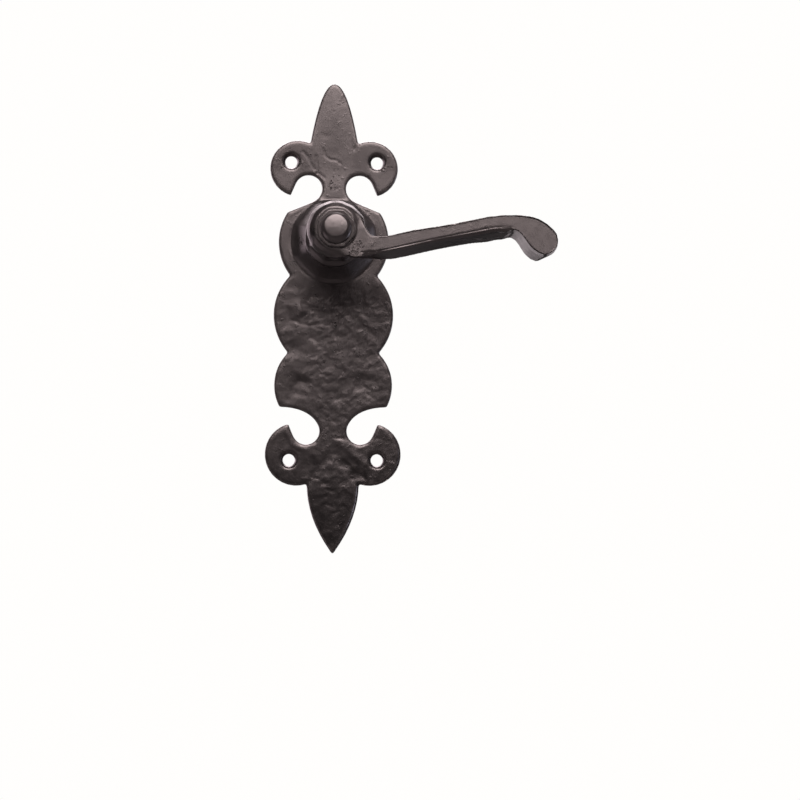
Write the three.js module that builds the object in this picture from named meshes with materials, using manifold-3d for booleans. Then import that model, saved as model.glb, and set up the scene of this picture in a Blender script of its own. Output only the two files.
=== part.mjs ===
// A sprung lever handle of black cast iron on a fleur-de-lys backplate, in millimetres.
// The origin is the spindle axis at the door face. +Z is up, +X is the way that the lever points,
// and -Y is out from the door.
// Every piece is drawn as seen from its front, with x to the right, y up and z out from the door,
// and is then turned into that frame by TO_WORLD.

import * as THREE from 'three';
import { mergeVertices } from 'three/addons/utils/BufferGeometryUtils.js';
import Module from 'manifold-3d';

const wasm = await Module();
wasm.setup();

// Clearances
const RUNNING_GAP = 0.3; // between pieces that turn past each other
const FIT_GAP = 0.2; // round a pressed, keyed or screwed piece
const CUT_PAST = 2; // how far a cutting tool runs past the face that it opens

// Backplate outline
const PLATE_THICKNESS = 3.2;
const PLATE_EDGE = 0.4; // chamfer round its rim
const TOP_TIP_HEIGHT = 70.6;
const TOP_SPEAR_HALF_WIDTH = 10.7;
const BOTTOM_TIP_DEPTH = 139.5;
const BOTTOM_TIP_HALF_WIDTH = 1.2;
const BOTTOM_SPEAR_HALF_WIDTH = 11.6;
const BOTTOM_SPEAR_SHOULDER = 15.9; // from its tip to where its sides run straight
const TOP_LOBE_X = 16.1;
const TOP_LOBE_HEIGHT = 32.4;
const TOP_LOBE_RADIUS = 12.5;
const TOP_NOTCH_X = 11.4;
const TOP_NOTCH_HEIGHT = 23.4;
const TOP_NOTCH_RADIUS = 6.1;
const BOTTOM_LOBE_X = 16.3;
const BOTTOM_LOBE_DEPTH = 95.5;
const BOTTOM_LOBE_RADIUS = 14;
const BOTTOM_NOTCH_X = 12.1;
const BOTTOM_NOTCH_DEPTH = 85.1;
const BOTTOM_NOTCH_RADIUS = 6.05;
const ROUND_DEPTH = 0.6; // centre of the round behind the lever, below the spindle
const ROUND_RADIUS = 24.6;
const SHOULDER_ANGLE = 32.5; // where the round's upper corner stands
const MIDDLE_LOBE_X = 1.6;
const MIDDLE_LOBE_DEPTH = 33.4;
const MIDDLE_LOBE_RADIUS = 25.1;
const LOWER_LOBE_X = 5.8;
const LOWER_LOBE_DEPTH = 64.8;
const LOWER_LOBE_RADIUS = 20.5;
const LOWER_CORNER_ANGLE = -28;
const LOBE_TIP_ANGLE = 75; // where each fleur-de-lys lobe ends, toward the spindle
const NOTCH_MOUTH_ANGLE = 25; // where a notch's round leaves its lobe
const NOTCH_NECK_ANGLE = 30; // where it leaves the plate's neck

// Screw holes
const SCREW_HOLE_RADIUS = 2.7;
const COUNTERSINK_RADIUS = 3.9;
const COUNTERSINK_DEPTH = 1.5;
const TOP_HOLE_X = 19.2;
const TOP_HOLE_HEIGHT = 35.3;
const BOTTOM_HOLE_X = 19.6;
const BOTTOM_HOLE_DEPTH = 98.1;

// Rose, the flared boss on the plate
const ROSE_TOP = 12.4;
const ROSE_FOOT_RADIUS = 18.3;
const ROSE_TOP_RADIUS = 12.7;
const ROSE_HOLLOW = 0.5; // how far its flare sags inward
const WEB_BACK = 8.6; // back of the web that carries the bush
const CAVITY_RADIUS = 11.9;
const COVER_RECESS_DEPTH = 1.8;

// Pieces in the rose
const BUSH_WALL = 1;
const FRONT_WASHER_THICKNESS = 1.2;
const FRONT_WASHER_RADIUS = 10.6;
const THRUST_WASHER_THICKNESS = 0.8;
const THRUST_WASHER_RADIUS = 9.2;
const STOP_PIN_RADIUS = 0.8;
const STOP_PIN_ORBIT = 10.8;
const STOP_PIN_SEAT = 1.9; // how deep the stop pins sit in the web
const COVER_RADIUS = 17;
const COVER_THICKNESS = 0.9;
const COVER_BORE_RADIUS = 6.4;
const COVER_SCREW_COUNT = 3;
const COVER_SCREW_ORBIT = 14.6;
const COVER_SCREW_FIRST_ANGLE = 30;
const COVER_SCREW_RADIUS = 0.8;
const COVER_SCREW_HEAD_RADIUS = 1.7;
const COVER_SCREW_HEAD_HEIGHT = 0.7;
const COVER_SCREW_LENGTH = 3.2;
const COVER_SCREW_SLOT = 0.4;

// Lever movement
const TRAVEL = 50; // degrees, downward
const LUG_REST_ANGLE = 115;

// Drive plate and what holds it
const DRIVE_PLATE_THICKNESS = 1.2;
const DRIVE_PLATE_RADIUS = 9;
const DRIVE_LUG_REACH = 11.5;
const DRIVE_LUG_HALF_WIDTH = 1.6;
const WAVE_WASHER_THICKNESS = 0.5;
const WAVE_WASHER_RADIUS = 9;
const CIRCLIP_THICKNESS = 0.9;
const CIRCLIP_RADIUS = 9.2;
const CIRCLIP_GROOVE_DEPTH = 0.8;
const CIRCLIP_MOUTH = 56; // degrees

// Return spring
const SPRING_WIRE_RADIUS = 0.45;
const SPRING_COIL_RADIUS = 10.3;
const SPRING_PITCH = 1.1;
const SPRING_TURNS = 2.5;
const SPRING_FLOOR_GAP = 0.3; // from the cover to the first coil
const SPRING_LEG = 6.2;
const SPRING_LEG_RISE = 0.2; // how far its leg stands through the drive plate
const ANCHOR_PIN_RADIUS = 0.9;
const ANCHOR_PIN_SEAT = 3;
const ANCHOR_POCKET_RADIUS = 3;
const ANCHOR_POCKET_CEILING = 5;

// Neck that carries the lever
const JOURNAL_RADIUS = 7.9;
const JOURNAL_END = 2.3;
const JOURNAL_FLAT = 6.9; // from the axis to each of its two flats
const SPINDLE_SIZE = 8.2;
const SPINDLE_SOCKET_END = 30;
const COLLAR_RADIUS = 13.2;
const COLLAR_TOP = 17.6;
const COLLAR_CHAMFER = 0.6;
const NECK_FOOT_RADIUS = 11;
const NECK_WAIST_RADIUS = 7.8;
const NECK_WAIST_HEIGHT = 29;
const NECK_TOP_RADIUS = 10.3;
const GRUB_RADIUS = 2.3;
const GRUB_HEIGHT = 22.8;
const GRUB_LENGTH = 4;
const GRUB_HEX_RADIUS = 1.3;
const GRUB_HEX_DEPTH = 1.8;
const GRUB_SINK = 0.6; // below the neck's surface

// Lever head
const EYE_SHARPNESS = 0.5; // how far its eight corners stand out, from round at 0 to sharp at 1
const EYE_BACK = 36.9;
const EYE_FRONT = 47.6;
const EYE_RADIUS = 12.4;
const EYE_FACE_RADIUS = 9.2;
const TENON_SIZE = 10;
const HEAD_WASHER_RADIUS = 8;
const HEAD_WASHER_THICKNESS = 1;
const RIVET_SHANK_RADIUS = 3;
const RIVET_SHANK_LENGTH = 9;
const RIVET_HEAD_RADIUS = 6.7;
const RIVET_HEAD_HEIGHT = 3;

// Lever arm
const ARM_REACH = 95.4;
const ARM_FRONT_ROOT = 47;
const ARM_FRONT_FLARE = 4.1;
const ARM_BACK_FLARE = 9.6;
const ARM_FLARE_START = 22;
const ARM_FLARE_END = 100;
const ARM_UNDERCUT = 4.3; // how much lower its underside is at the back
const ARM_UNDERCUT_FULL = 25; // where it reaches that, from the axis
const ARM_UNDERCUT_FADE_START = 59;
const ARM_UNDERCUT_FADE_END = 83;
const ARM_UNDERCUT_END_SHARE = 0.1; // what is left of it at the scroll
const ARM_CREST = 6.1; // height of the arm's top over the spindle axis
const SCROLL_RADIUS = 6.3;
const SCROLL_DROP = 4.4; // of the scroll's centre, below the spindle axis
const ARM_END_SETBACK_BACK = 2.4;
const ARM_END_SETBACK_FRONT = 1.1;

// Points along the arm's front outline, from the head outward above and back again below.
// Each is a share of the reach and a share of the crest's height.
const ARM_UPPER_EDGE = [
  [0.045, 1.47], [0.103, 0.89], [0.127, 0.28], [0.145, -0.21], [0.17, -0.52], [0.236, -0.48],
  [0.375, -0.05], [0.538, 0.41], [0.671, 0.84], [0.778, 1], [0.883, 0.85], [0.935, 0.525],
  [0.97, 0.13], [0.994, -0.31],
];
const ARM_LOWER_EDGE = [
  [0.906, -1.61], [0.869, -1.18], [0.825, -0.295], [0.781, 0.13], [0.737, 0.28], [0.699, 0.245],
  [0.571, -0.13], [0.445, -0.51], [0.318, -0.97], [0.16, -1.51], [0.065, -1.87],
];

// Fineness
const SIDES = 40;
const SMALL_SIDES = 20;
const OCTAGON_STEPS = 4; // points along each side of an eight-sided ring
const CURVE_STEPS = 8;
const ARM_EDGE_STEPS = 30;
const SPRING_STEPS = 150;

// Levels along the spindle axis, worked out from the sizes above
const WASHER_SEAT = ROSE_TOP - FRONT_WASHER_THICKNESS;
const COLLAR_BACK = ROSE_TOP + RUNNING_GAP;
const THRUST_BACK = WEB_BACK - THRUST_WASHER_THICKNESS;
const DRIVE_FRONT = THRUST_BACK - RUNNING_GAP;
const DRIVE_BACK = DRIVE_FRONT - DRIVE_PLATE_THICKNESS;
const WAVE_BACK = DRIVE_BACK - WAVE_WASHER_THICKNESS;
const CIRCLIP_BACK = WAVE_BACK - CIRCLIP_THICKNESS;
const COVER_BACK = COVER_RECESS_DEPTH - COVER_THICKNESS;
const TENON_END = EYE_FRONT - RUNNING_GAP;
const WASHER_FRONT = EYE_FRONT + HEAD_WASHER_THICKNESS;
const BUSH_BORE = JOURNAL_RADIUS + RUNNING_GAP;
const CLIP_BORE = JOURNAL_RADIUS - CIRCLIP_GROOVE_DEPTH + FIT_GAP;

const TO_WORLD = new THREE.Matrix4().set(1, 0, 0, 0, 0, 0, -1, 0, 0, 1, 0, 0, 0, 0, 0, 1);
const radians = THREE.MathUtils.degToRad;

/** Six times the signed volume of a triangle mesh. */
function signedVolume(position, index) {
  const [a, b, c] = [new THREE.Vector3(), new THREE.Vector3(), new THREE.Vector3()];
  let total = 0;
  for (let i = 0; i < index.length; i += 3) {
    a.fromBufferAttribute(position, index[i]);
    b.fromBufferAttribute(position, index[i + 1]);
    c.fromBufferAttribute(position, index[i + 2]);
    total += a.dot(b.cross(c));
  }
  return total;
}

/** Turns a closed geometry into a solid that can be joined and cut. */
function toSolid(geometry) {
  const bare = new THREE.BufferGeometry();
  bare.setAttribute('position', geometry.attributes.position);
  bare.setIndex(geometry.index);
  const merged = mergeVertices(bare, 1e-5);
  const index = [];
  for (let i = 0; i < merged.index.count; i += 3) {
    const [a, b, c] = [0, 1, 2].map((corner) => merged.index.getX(i + corner));
    if (a !== b && b !== c && c !== a) index.push(a, b, c);
  }
  if (signedVolume(merged.attributes.position, index) < 0) index.reverse();
  const vertProperties = merged.attributes.position.array;
  return new wasm.Manifold(new wasm.Mesh({ numProp: 3, vertProperties, triVerts: new Uint32Array(index) }));
}

/** Turns a solid back into a geometry, in the part's own frame. */
function toGeometry(solid) {
  const mesh = solid.getMesh();
  const geometry = new THREE.BufferGeometry();
  geometry.setAttribute('position', new THREE.BufferAttribute(new Float32Array(mesh.vertProperties), 3));
  geometry.setIndex([...mesh.triVerts]);
  geometry.applyMatrix4(TO_WORLD);
  geometry.computeVertexNormals();
  return geometry;
}

/** Joins a list of solids into one. */
function join(solids) {
  return solids.reduce((whole, solid) => whole.add(solid));
}

/** Cuts each of a list of solids out of the first one. */
function cut(solid, tools) {
  return tools.reduce((left, tool) => left.subtract(tool), solid);
}

/** A point at a radius and an angle in degrees about the spindle axis. */
function polar(radius, angle) {
  return new THREE.Vector2(radius * Math.cos(radians(angle)), radius * Math.sin(radians(angle)));
}

/** A round bar along z, from one level to another. */
function bar(radius, from, to, { x = 0, y = 0, sides = SIDES } = {}) {
  const geometry = new THREE.CylinderGeometry(radius, radius, to - from, sides);
  geometry.rotateX(Math.PI / 2);
  geometry.translate(x, y, (from + to) / 2);
  return toSolid(geometry);
}

/** A flat ring along z, from one level to another. */
function ring(inner, outer, from, to) {
  return bar(outer, from, to).subtract(bar(inner, from - CUT_PAST, to + CUT_PAST));
}

/** A block centred on x and y, from one level to another. */
function block(width, height, from, to) {
  return toSolid(new THREE.BoxGeometry(width, height, to - from).translate(0, 0, (from + to) / 2));
}

/** A solid of revolution about z through a list of [radius, level] points. */
function turned(profile, sides = SIDES) {
  const points = profile.map(([radius, level]) => new THREE.Vector2(radius, level));
  return toSolid(new THREE.LatheGeometry(points, sides).rotateX(Math.PI / 2));
}

/** A closed skin over rings of matching points, with a flat or curved cap at each end. */
function loft(rings) {
  const count = rings[0].length;
  const positions = rings.flat().flatMap((point) => [point.x, point.y, point.z]);
  const index = [];
  for (let level = 0; level + 1 < rings.length; level += 1) {
    for (let i = 0; i < count; i += 1) {
      const [a, b] = [level * count + i, level * count + ((i + 1) % count)];
      index.push(a, b, a + count, b, b + count, a + count);
    }
  }
  const last = (rings.length - 1) * count;
  const flat = (points) => points.map((point) => new THREE.Vector2(point.x, point.y));
  for (const [a, b, c] of THREE.ShapeUtils.triangulateShape(flat(rings[0]), [])) index.push(c, b, a);
  for (const [a, b, c] of THREE.ShapeUtils.triangulateShape(flat(rings.at(-1)), [])) {
    index.push(last + a, last + b, last + c);
  }
  const geometry = new THREE.BufferGeometry();
  geometry.setAttribute('position', new THREE.Float32BufferAttribute(positions, 3));
  geometry.setIndex(index);
  return toSolid(geometry);
}

/** An eight-sided ring with flats to the right and on top. Its corners soften as sharpness drops. */
function octagon(radius, level, sharpness = 0.8) {
  const count = 8 * OCTAGON_STEPS;
  return Array.from({ length: count }, (_, i) => {
    const angle = (i / count) * Math.PI * 2;
    const fromFlat = ((angle + Math.PI / 8) % (Math.PI / 4)) - Math.PI / 8;
    const reach = radius * (1 + sharpness * (1 / Math.cos(fromFlat) - 1));
    return new THREE.Vector3(reach * Math.cos(angle), reach * Math.sin(angle), level);
  });
}

/** A smooth step from 0 to 1 between two values. */
function ease(value, from, to) {
  return THREE.MathUtils.smoothstep(value, from, to);
}

/** The right-hand edge of the backplate, from its top tip down to its bottom tip. */
function plateEdge() {
  const arc = (x, y, radius, from, to, clockwise) =>
    edge.absarc(x, y, radius, radians(from), radians(to), clockwise);
  const angleAt = (x, y, centreX, centreY) => THREE.MathUtils.radToDeg(Math.atan2(y - centreY, x - centreX));
  const edge = new THREE.Path();
  edge.moveTo(0, TOP_TIP_HEIGHT);

  const topLobeStart = 180 - THREE.MathUtils.radToDeg(
    Math.acos((TOP_LOBE_X - TOP_SPEAR_HALF_WIDTH) / TOP_LOBE_RADIUS));
  const topLobeY = TOP_LOBE_HEIGHT + TOP_LOBE_RADIUS * Math.sin(radians(topLobeStart));
  edge.quadraticCurveTo(TOP_SPEAR_HALF_WIDTH * 0.55, TOP_TIP_HEIGHT, TOP_SPEAR_HALF_WIDTH, topLobeY);
  arc(TOP_LOBE_X, TOP_LOBE_HEIGHT, TOP_LOBE_RADIUS, topLobeStart, -LOBE_TIP_ANGLE, true);
  const topMouth = polar(TOP_NOTCH_RADIUS, NOTCH_MOUTH_ANGLE).add(
    new THREE.Vector2(TOP_NOTCH_X, TOP_NOTCH_HEIGHT));
  edge.quadraticCurveTo(topMouth.x + 0.2 * TOP_NOTCH_RADIUS, topMouth.y - 0.44 * TOP_NOTCH_RADIUS,
    topMouth.x, topMouth.y);
  arc(TOP_NOTCH_X, TOP_NOTCH_HEIGHT, TOP_NOTCH_RADIUS, NOTCH_MOUTH_ANGLE, 180 + NOTCH_NECK_ANGLE, false);

  const neckOut = edge.currentPoint.clone();
  const shoulder = polar(ROUND_RADIUS, SHOULDER_ANGLE).add(new THREE.Vector2(0, -ROUND_DEPTH));
  edge.bezierCurveTo(neckOut.x + 0.25 * TOP_NOTCH_RADIUS, neckOut.y - 0.43 * TOP_NOTCH_RADIUS,
    neckOut.x + 0.75 * TOP_NOTCH_RADIUS, shoulder.y + 0.7 * TOP_NOTCH_RADIUS, shoulder.x, shoulder.y);

  const roundToMiddle = circlesMeet(
    [0, -ROUND_DEPTH, ROUND_RADIUS], [MIDDLE_LOBE_X, -MIDDLE_LOBE_DEPTH, MIDDLE_LOBE_RADIUS]);
  const middleToLower = circlesMeet(
    [MIDDLE_LOBE_X, -MIDDLE_LOBE_DEPTH, MIDDLE_LOBE_RADIUS],
    [LOWER_LOBE_X, -LOWER_LOBE_DEPTH, LOWER_LOBE_RADIUS]);
  arc(0, -ROUND_DEPTH, ROUND_RADIUS, SHOULDER_ANGLE,
    angleAt(roundToMiddle.x, roundToMiddle.y, 0, -ROUND_DEPTH), true);
  arc(MIDDLE_LOBE_X, -MIDDLE_LOBE_DEPTH, MIDDLE_LOBE_RADIUS,
    angleAt(roundToMiddle.x, roundToMiddle.y, MIDDLE_LOBE_X, -MIDDLE_LOBE_DEPTH),
    angleAt(middleToLower.x, middleToLower.y, MIDDLE_LOBE_X, -MIDDLE_LOBE_DEPTH), true);
  arc(LOWER_LOBE_X, -LOWER_LOBE_DEPTH, LOWER_LOBE_RADIUS,
    angleAt(middleToLower.x, middleToLower.y, LOWER_LOBE_X, -LOWER_LOBE_DEPTH), LOWER_CORNER_ANGLE, true);

  const lowerCorner = edge.currentPoint.clone();
  const neckIn = polar(BOTTOM_NOTCH_RADIUS, 180 - NOTCH_NECK_ANGLE).add(
    new THREE.Vector2(BOTTOM_NOTCH_X, -BOTTOM_NOTCH_DEPTH));
  edge.bezierCurveTo(lowerCorner.x - 1.3 * BOTTOM_NOTCH_RADIUS, lowerCorner.y,
    neckIn.x + 0.43 * BOTTOM_NOTCH_RADIUS, neckIn.y + 0.84 * BOTTOM_NOTCH_RADIUS, neckIn.x, neckIn.y);
  arc(BOTTOM_NOTCH_X, -BOTTOM_NOTCH_DEPTH, BOTTOM_NOTCH_RADIUS,
    180 - NOTCH_NECK_ANGLE, 360 - NOTCH_MOUTH_ANGLE, false);
  const bottomMouth = edge.currentPoint.clone();
  const bottomLobeTip = polar(BOTTOM_LOBE_RADIUS, LOBE_TIP_ANGLE);
  edge.quadraticCurveTo(
    bottomMouth.x + 0.2 * BOTTOM_NOTCH_RADIUS, bottomMouth.y + 0.43 * BOTTOM_NOTCH_RADIUS,
    BOTTOM_LOBE_X + bottomLobeTip.x, -BOTTOM_LOBE_DEPTH + bottomLobeTip.y);
  const bottomLobeEnd = -180 + THREE.MathUtils.radToDeg(
    Math.acos((BOTTOM_LOBE_X - BOTTOM_SPEAR_HALF_WIDTH) / BOTTOM_LOBE_RADIUS));
  arc(BOTTOM_LOBE_X, -BOTTOM_LOBE_DEPTH, BOTTOM_LOBE_RADIUS, LOBE_TIP_ANGLE, bottomLobeEnd, true);
  edge.quadraticCurveTo(
    BOTTOM_SPEAR_HALF_WIDTH, -BOTTOM_TIP_DEPTH + BOTTOM_SPEAR_SHOULDER,
    BOTTOM_TIP_HALF_WIDTH, -BOTTOM_TIP_DEPTH + BOTTOM_TIP_HALF_WIDTH);
  edge.quadraticCurveTo(BOTTOM_TIP_HALF_WIDTH / 2, -BOTTOM_TIP_DEPTH, 0, -BOTTOM_TIP_DEPTH);
  return edge.getPoints(CURVE_STEPS);
}

/** The right-hand point where two circles, each [x, y, radius], cross. */
function circlesMeet([x1, y1, r1], [x2, y2, r2]) {
  const apart = Math.hypot(x2 - x1, y2 - y1);
  const along = (apart ** 2 + r1 ** 2 - r2 ** 2) / (2 * apart);
  const across = Math.sqrt(r1 ** 2 - along ** 2);
  const [ux, uy] = [(x2 - x1) / apart, (y2 - y1) / apart];
  return new THREE.Vector2(x1 + along * ux - across * uy, y1 + along * uy + across * ux);
}

/** The flat plate, without its holes. */
function plateBlank() {
  const right = plateEdge();
  const left = right.slice(1, -1).reverse().map((point) => new THREE.Vector2(-point.x, point.y));
  const outline = new THREE.Shape([...right, ...left].reverse());
  const blank = new THREE.ExtrudeGeometry(outline, {
    depth: PLATE_THICKNESS - 2 * PLATE_EDGE,
    bevelThickness: PLATE_EDGE,
    bevelSize: PLATE_EDGE,
    bevelOffset: -PLATE_EDGE,
    bevelSegments: 1,
  });
  return toSolid(blank.translate(0, 0, PLATE_EDGE));
}

/** The flared, eight-sided boss that stands on the plate. */
function roseBlank() {
  const levels = [0, 0.25, 0.5, 0.75, 1];
  const rings = levels.map((share) => {
    const level = THREE.MathUtils.lerp(PLATE_THICKNESS, ROSE_TOP, share);
    const straight = THREE.MathUtils.lerp(ROSE_FOOT_RADIUS, ROSE_TOP_RADIUS, share);
    return octagon(straight - ROSE_HOLLOW * Math.sin(share * Math.PI), level);
  });
  return loft([octagon(ROSE_FOOT_RADIUS, PLATE_THICKNESS / 2), ...rings]);
}

/** A countersunk hole through the plate. */
function countersunkHole(x, y) {
  const profile = [
    [0, -CUT_PAST], [SCREW_HOLE_RADIUS, -CUT_PAST],
    [SCREW_HOLE_RADIUS, PLATE_THICKNESS - COUNTERSINK_DEPTH],
    [COUNTERSINK_RADIUS, PLATE_THICKNESS], [COUNTERSINK_RADIUS, PLATE_THICKNESS + CUT_PAST],
    [0, PLATE_THICKNESS + CUT_PAST],
  ];
  return turned(profile, SMALL_SIDES).translate([x, y, 0]);
}

/** Places of the two stop pins about the axis: the lug rests by one and ends its travel by the other. */
function stopPinPlaces() {
  const away = THREE.MathUtils.radToDeg(
    Math.asin((DRIVE_LUG_HALF_WIDTH + STOP_PIN_RADIUS + RUNNING_GAP) / STOP_PIN_ORBIT));
  return [LUG_REST_ANGLE + away, LUG_REST_ANGLE - TRAVEL - away].map((angle) => polar(STOP_PIN_ORBIT, angle));
}

/** Places of the screws that hold the rear cover. */
function coverScrewPlaces() {
  return Array.from({ length: COVER_SCREW_COUNT }, (_, i) =>
    polar(COVER_SCREW_ORBIT, COVER_SCREW_FIRST_ANGLE + (i * 360) / COVER_SCREW_COUNT));
}

/** Where the spring's fixed end leaves the coil, with its outward and its leg's directions. */
function springFoot() {
  const angle = LUG_REST_ANGLE + 360 * SPRING_TURNS;
  return { angle, out: polar(1, angle), along: polar(1, angle + 90) };
}

/** A place beside the spring's fixed leg, measured outward and along the leg. */
function besideSpringLeg(outward, along) {
  const foot = springFoot();
  return foot.out.clone().multiplyScalar(outward).addScaledVector(foot.along, along);
}

/** Place of the pin that the spring's fixed leg bears on. */
function anchorPinPlace() {
  const outward = SPRING_COIL_RADIUS + SPRING_WIRE_RADIUS + ANCHOR_PIN_RADIUS + FIT_GAP;
  return besideSpringLeg(outward, SPRING_LEG - 1.5 * ANCHOR_PIN_RADIUS);
}

/** The backplate casting with its rose, its rear cavity and all its holes. */
function backplate() {
  const pocket = besideSpringLeg(SPRING_COIL_RADIUS + ANCHOR_PIN_RADIUS, SPRING_LEG - ANCHOR_PIN_RADIUS);
  const anchor = anchorPinPlace();
  const pinHole = (place, radius, from, to) =>
    bar(radius + FIT_GAP, from, to, { x: place.x, y: place.y, sides: SMALL_SIDES });
  const tools = [
    bar(COVER_RADIUS + FIT_GAP, -CUT_PAST, COVER_RECESS_DEPTH),
    bar(CAVITY_RADIUS, 0, WEB_BACK),
    bar(BUSH_BORE + BUSH_WALL + FIT_GAP, 0, ROSE_TOP),
    bar(FRONT_WASHER_RADIUS + FIT_GAP, WASHER_SEAT, ROSE_TOP + CUT_PAST),
    bar(ANCHOR_POCKET_RADIUS, 0, ANCHOR_POCKET_CEILING, { x: pocket.x, y: pocket.y, sides: SMALL_SIDES }),
    pinHole(anchor, ANCHOR_PIN_RADIUS, 0, ANCHOR_POCKET_CEILING + ANCHOR_PIN_SEAT),
    ...stopPinPlaces().map((place) =>
      pinHole(place, STOP_PIN_RADIUS, THRUST_BACK, WEB_BACK + STOP_PIN_SEAT)),
    ...coverScrewPlaces().map((place) =>
      pinHole(place, COVER_SCREW_RADIUS, 0, COVER_BACK + COVER_SCREW_LENGTH + FIT_GAP)),
  ];
  for (const side of [-1, 1]) {
    tools.push(countersunkHole(side * TOP_HOLE_X, TOP_HOLE_HEIGHT));
    tools.push(countersunkHole(side * BOTTOM_HOLE_X, -BOTTOM_HOLE_DEPTH));
  }
  return cut(join([plateBlank(), roseBlank()]), tools);
}

/** The cover over the rear cavity. */
function rearCover() {
  const holes = coverScrewPlaces().map(({ x, y }) =>
    bar(COVER_SCREW_RADIUS + FIT_GAP, 0, COVER_RECESS_DEPTH + CUT_PAST, { x, y, sides: SMALL_SIDES }));
  return cut(ring(COVER_BORE_RADIUS, COVER_RADIUS, COVER_BACK, COVER_RECESS_DEPTH), holes);
}

/** A cheese-head screw with a slot, its axis on the origin. */
function coverScrew() {
  const headBack = COVER_BACK - COVER_SCREW_HEAD_HEIGHT;
  const head = bar(COVER_SCREW_HEAD_RADIUS, headBack, COVER_BACK, { sides: SMALL_SIDES });
  const shank = bar(COVER_SCREW_RADIUS, headBack, COVER_BACK + COVER_SCREW_LENGTH, { sides: SMALL_SIDES });
  const slot = block(3 * COVER_SCREW_HEAD_RADIUS, COVER_SCREW_SLOT, headBack - CUT_PAST,
    headBack + COVER_SCREW_HEAD_HEIGHT / 2);
  return head.add(shank).subtract(slot);
}

/** The centre line of the return spring's wire, from its fixed leg to its moving one. */
function springPath() {
  const { angle } = springFoot();
  const firstLevel = COVER_RECESS_DEPTH + SPRING_FLOOR_GAP + SPRING_WIRE_RADIUS;
  const points = [];
  for (const share of [1, 0.66, 0.33]) {
    const spot = besideSpringLeg(SPRING_COIL_RADIUS, SPRING_LEG * share);
    points.push(new THREE.Vector3(spot.x, spot.y, firstLevel));
  }
  const bend = THREE.MathUtils.radToDeg(2 * SPRING_WIRE_RADIUS / SPRING_COIL_RADIUS);
  const steps = Math.round(16 * SPRING_TURNS);
  for (let i = 0; i <= steps; i += 1) {
    const turned = (i / steps) * (360 * SPRING_TURNS - bend);
    const spot = polar(SPRING_COIL_RADIUS, angle - turned);
    points.push(new THREE.Vector3(spot.x, spot.y, firstLevel + SPRING_PITCH * turned / 360));
  }
  const end = polar(SPRING_COIL_RADIUS, LUG_REST_ANGLE);
  const bendTop = firstLevel + SPRING_TURNS * SPRING_PITCH + 2 * SPRING_WIRE_RADIUS;
  for (const level of [bendTop, (bendTop + DRIVE_FRONT) / 2, DRIVE_FRONT + SPRING_LEG_RISE]) {
    points.push(new THREE.Vector3(end.x, end.y, level));
  }
  return new THREE.CatmullRomCurve3(points, false, 'centripetal');
}

/** The torsion spring that lifts the lever. */
function returnSpring() {
  const section = new THREE.Shape().absarc(0, 0, SPRING_WIRE_RADIUS, 0, Math.PI * 2);
  return toSolid(new THREE.ExtrudeGeometry(section, {
    steps: SPRING_STEPS, curveSegments: 3, extrudePath: springPath(),
  }));
}

/** A round journal with two flats, used for the neck and for the hole that is keyed on it. */
function keyedBar(grow, from, to) {
  return bar(JOURNAL_RADIUS + grow, from, to).intersect(
    block(2 * (JOURNAL_FLAT + grow), 4 * JOURNAL_RADIUS, from, to));
}

/** The plate on the journal whose lug runs between the stop pins. */
function drivePlate() {
  const disc = bar(DRIVE_PLATE_RADIUS, DRIVE_BACK, DRIVE_FRONT);
  const lug = toSolid(new THREE.BoxGeometry(
    DRIVE_LUG_REACH, 2 * DRIVE_LUG_HALF_WIDTH, DRIVE_PLATE_THICKNESS)
    .translate(DRIVE_LUG_REACH / 2, 0, (DRIVE_BACK + DRIVE_FRONT) / 2)
    .rotateZ(radians(LUG_REST_ANGLE)));
  const leg = polar(SPRING_COIL_RADIUS, LUG_REST_ANGLE);
  return cut(disc.add(lug), [
    keyedBar(FIT_GAP, DRIVE_BACK - CUT_PAST, DRIVE_FRONT + CUT_PAST),
    bar(SPRING_WIRE_RADIUS + FIT_GAP, DRIVE_BACK - CUT_PAST, DRIVE_FRONT + CUT_PAST,
      { x: leg.x, y: leg.y, sides: SMALL_SIDES }),
  ]);
}

/** The open ring that snaps into the journal's groove. */
function circlip() {
  const from = radians(-90 + CIRCLIP_MOUTH / 2);
  const to = radians(270 - CIRCLIP_MOUTH / 2);
  const outline = new THREE.Shape();
  outline.absarc(0, 0, CIRCLIP_RADIUS, from, to, false);
  outline.absarc(0, 0, CLIP_BORE, to, from, true);
  const geometry = new THREE.ExtrudeGeometry(outline, {
    depth: CIRCLIP_THICKNESS, bevelEnabled: false, curveSegments: SIDES / 2,
  });
  return toSolid(geometry.translate(0, 0, CIRCLIP_BACK));
}

/** The waisted, eight-sided body of the neck above the rose. */
function neckBody() {
  const collar = COLLAR_RADIUS - COLLAR_CHAMFER;
  const round = 0.2;
  const collarRings = [
    octagon(collar, COLLAR_BACK, round), octagon(COLLAR_RADIUS, COLLAR_BACK + COLLAR_CHAMFER, round),
    octagon(COLLAR_RADIUS, COLLAR_TOP - COLLAR_CHAMFER, round), octagon(collar, COLLAR_TOP, round),
  ];
  const foot = COLLAR_TOP + 2 * COLLAR_CHAMFER;
  const shares = [0, 0.2, 0.4, 0.7, 1];
  const lower = shares.map((share) => octagon(
    THREE.MathUtils.lerp(NECK_FOOT_RADIUS, NECK_WAIST_RADIUS, Math.sin(share * Math.PI / 2)),
    THREE.MathUtils.lerp(foot, NECK_WAIST_HEIGHT, share)));
  const upper = [0.3, 0.6, 0.8, 1].map((share) => octagon(
    THREE.MathUtils.lerp(NECK_WAIST_RADIUS, NECK_TOP_RADIUS, share ** 1.5),
    THREE.MathUtils.lerp(NECK_WAIST_HEIGHT, EYE_BACK, share)));
  return loft([...collarRings, ...lower, ...upper]);
}

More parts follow.
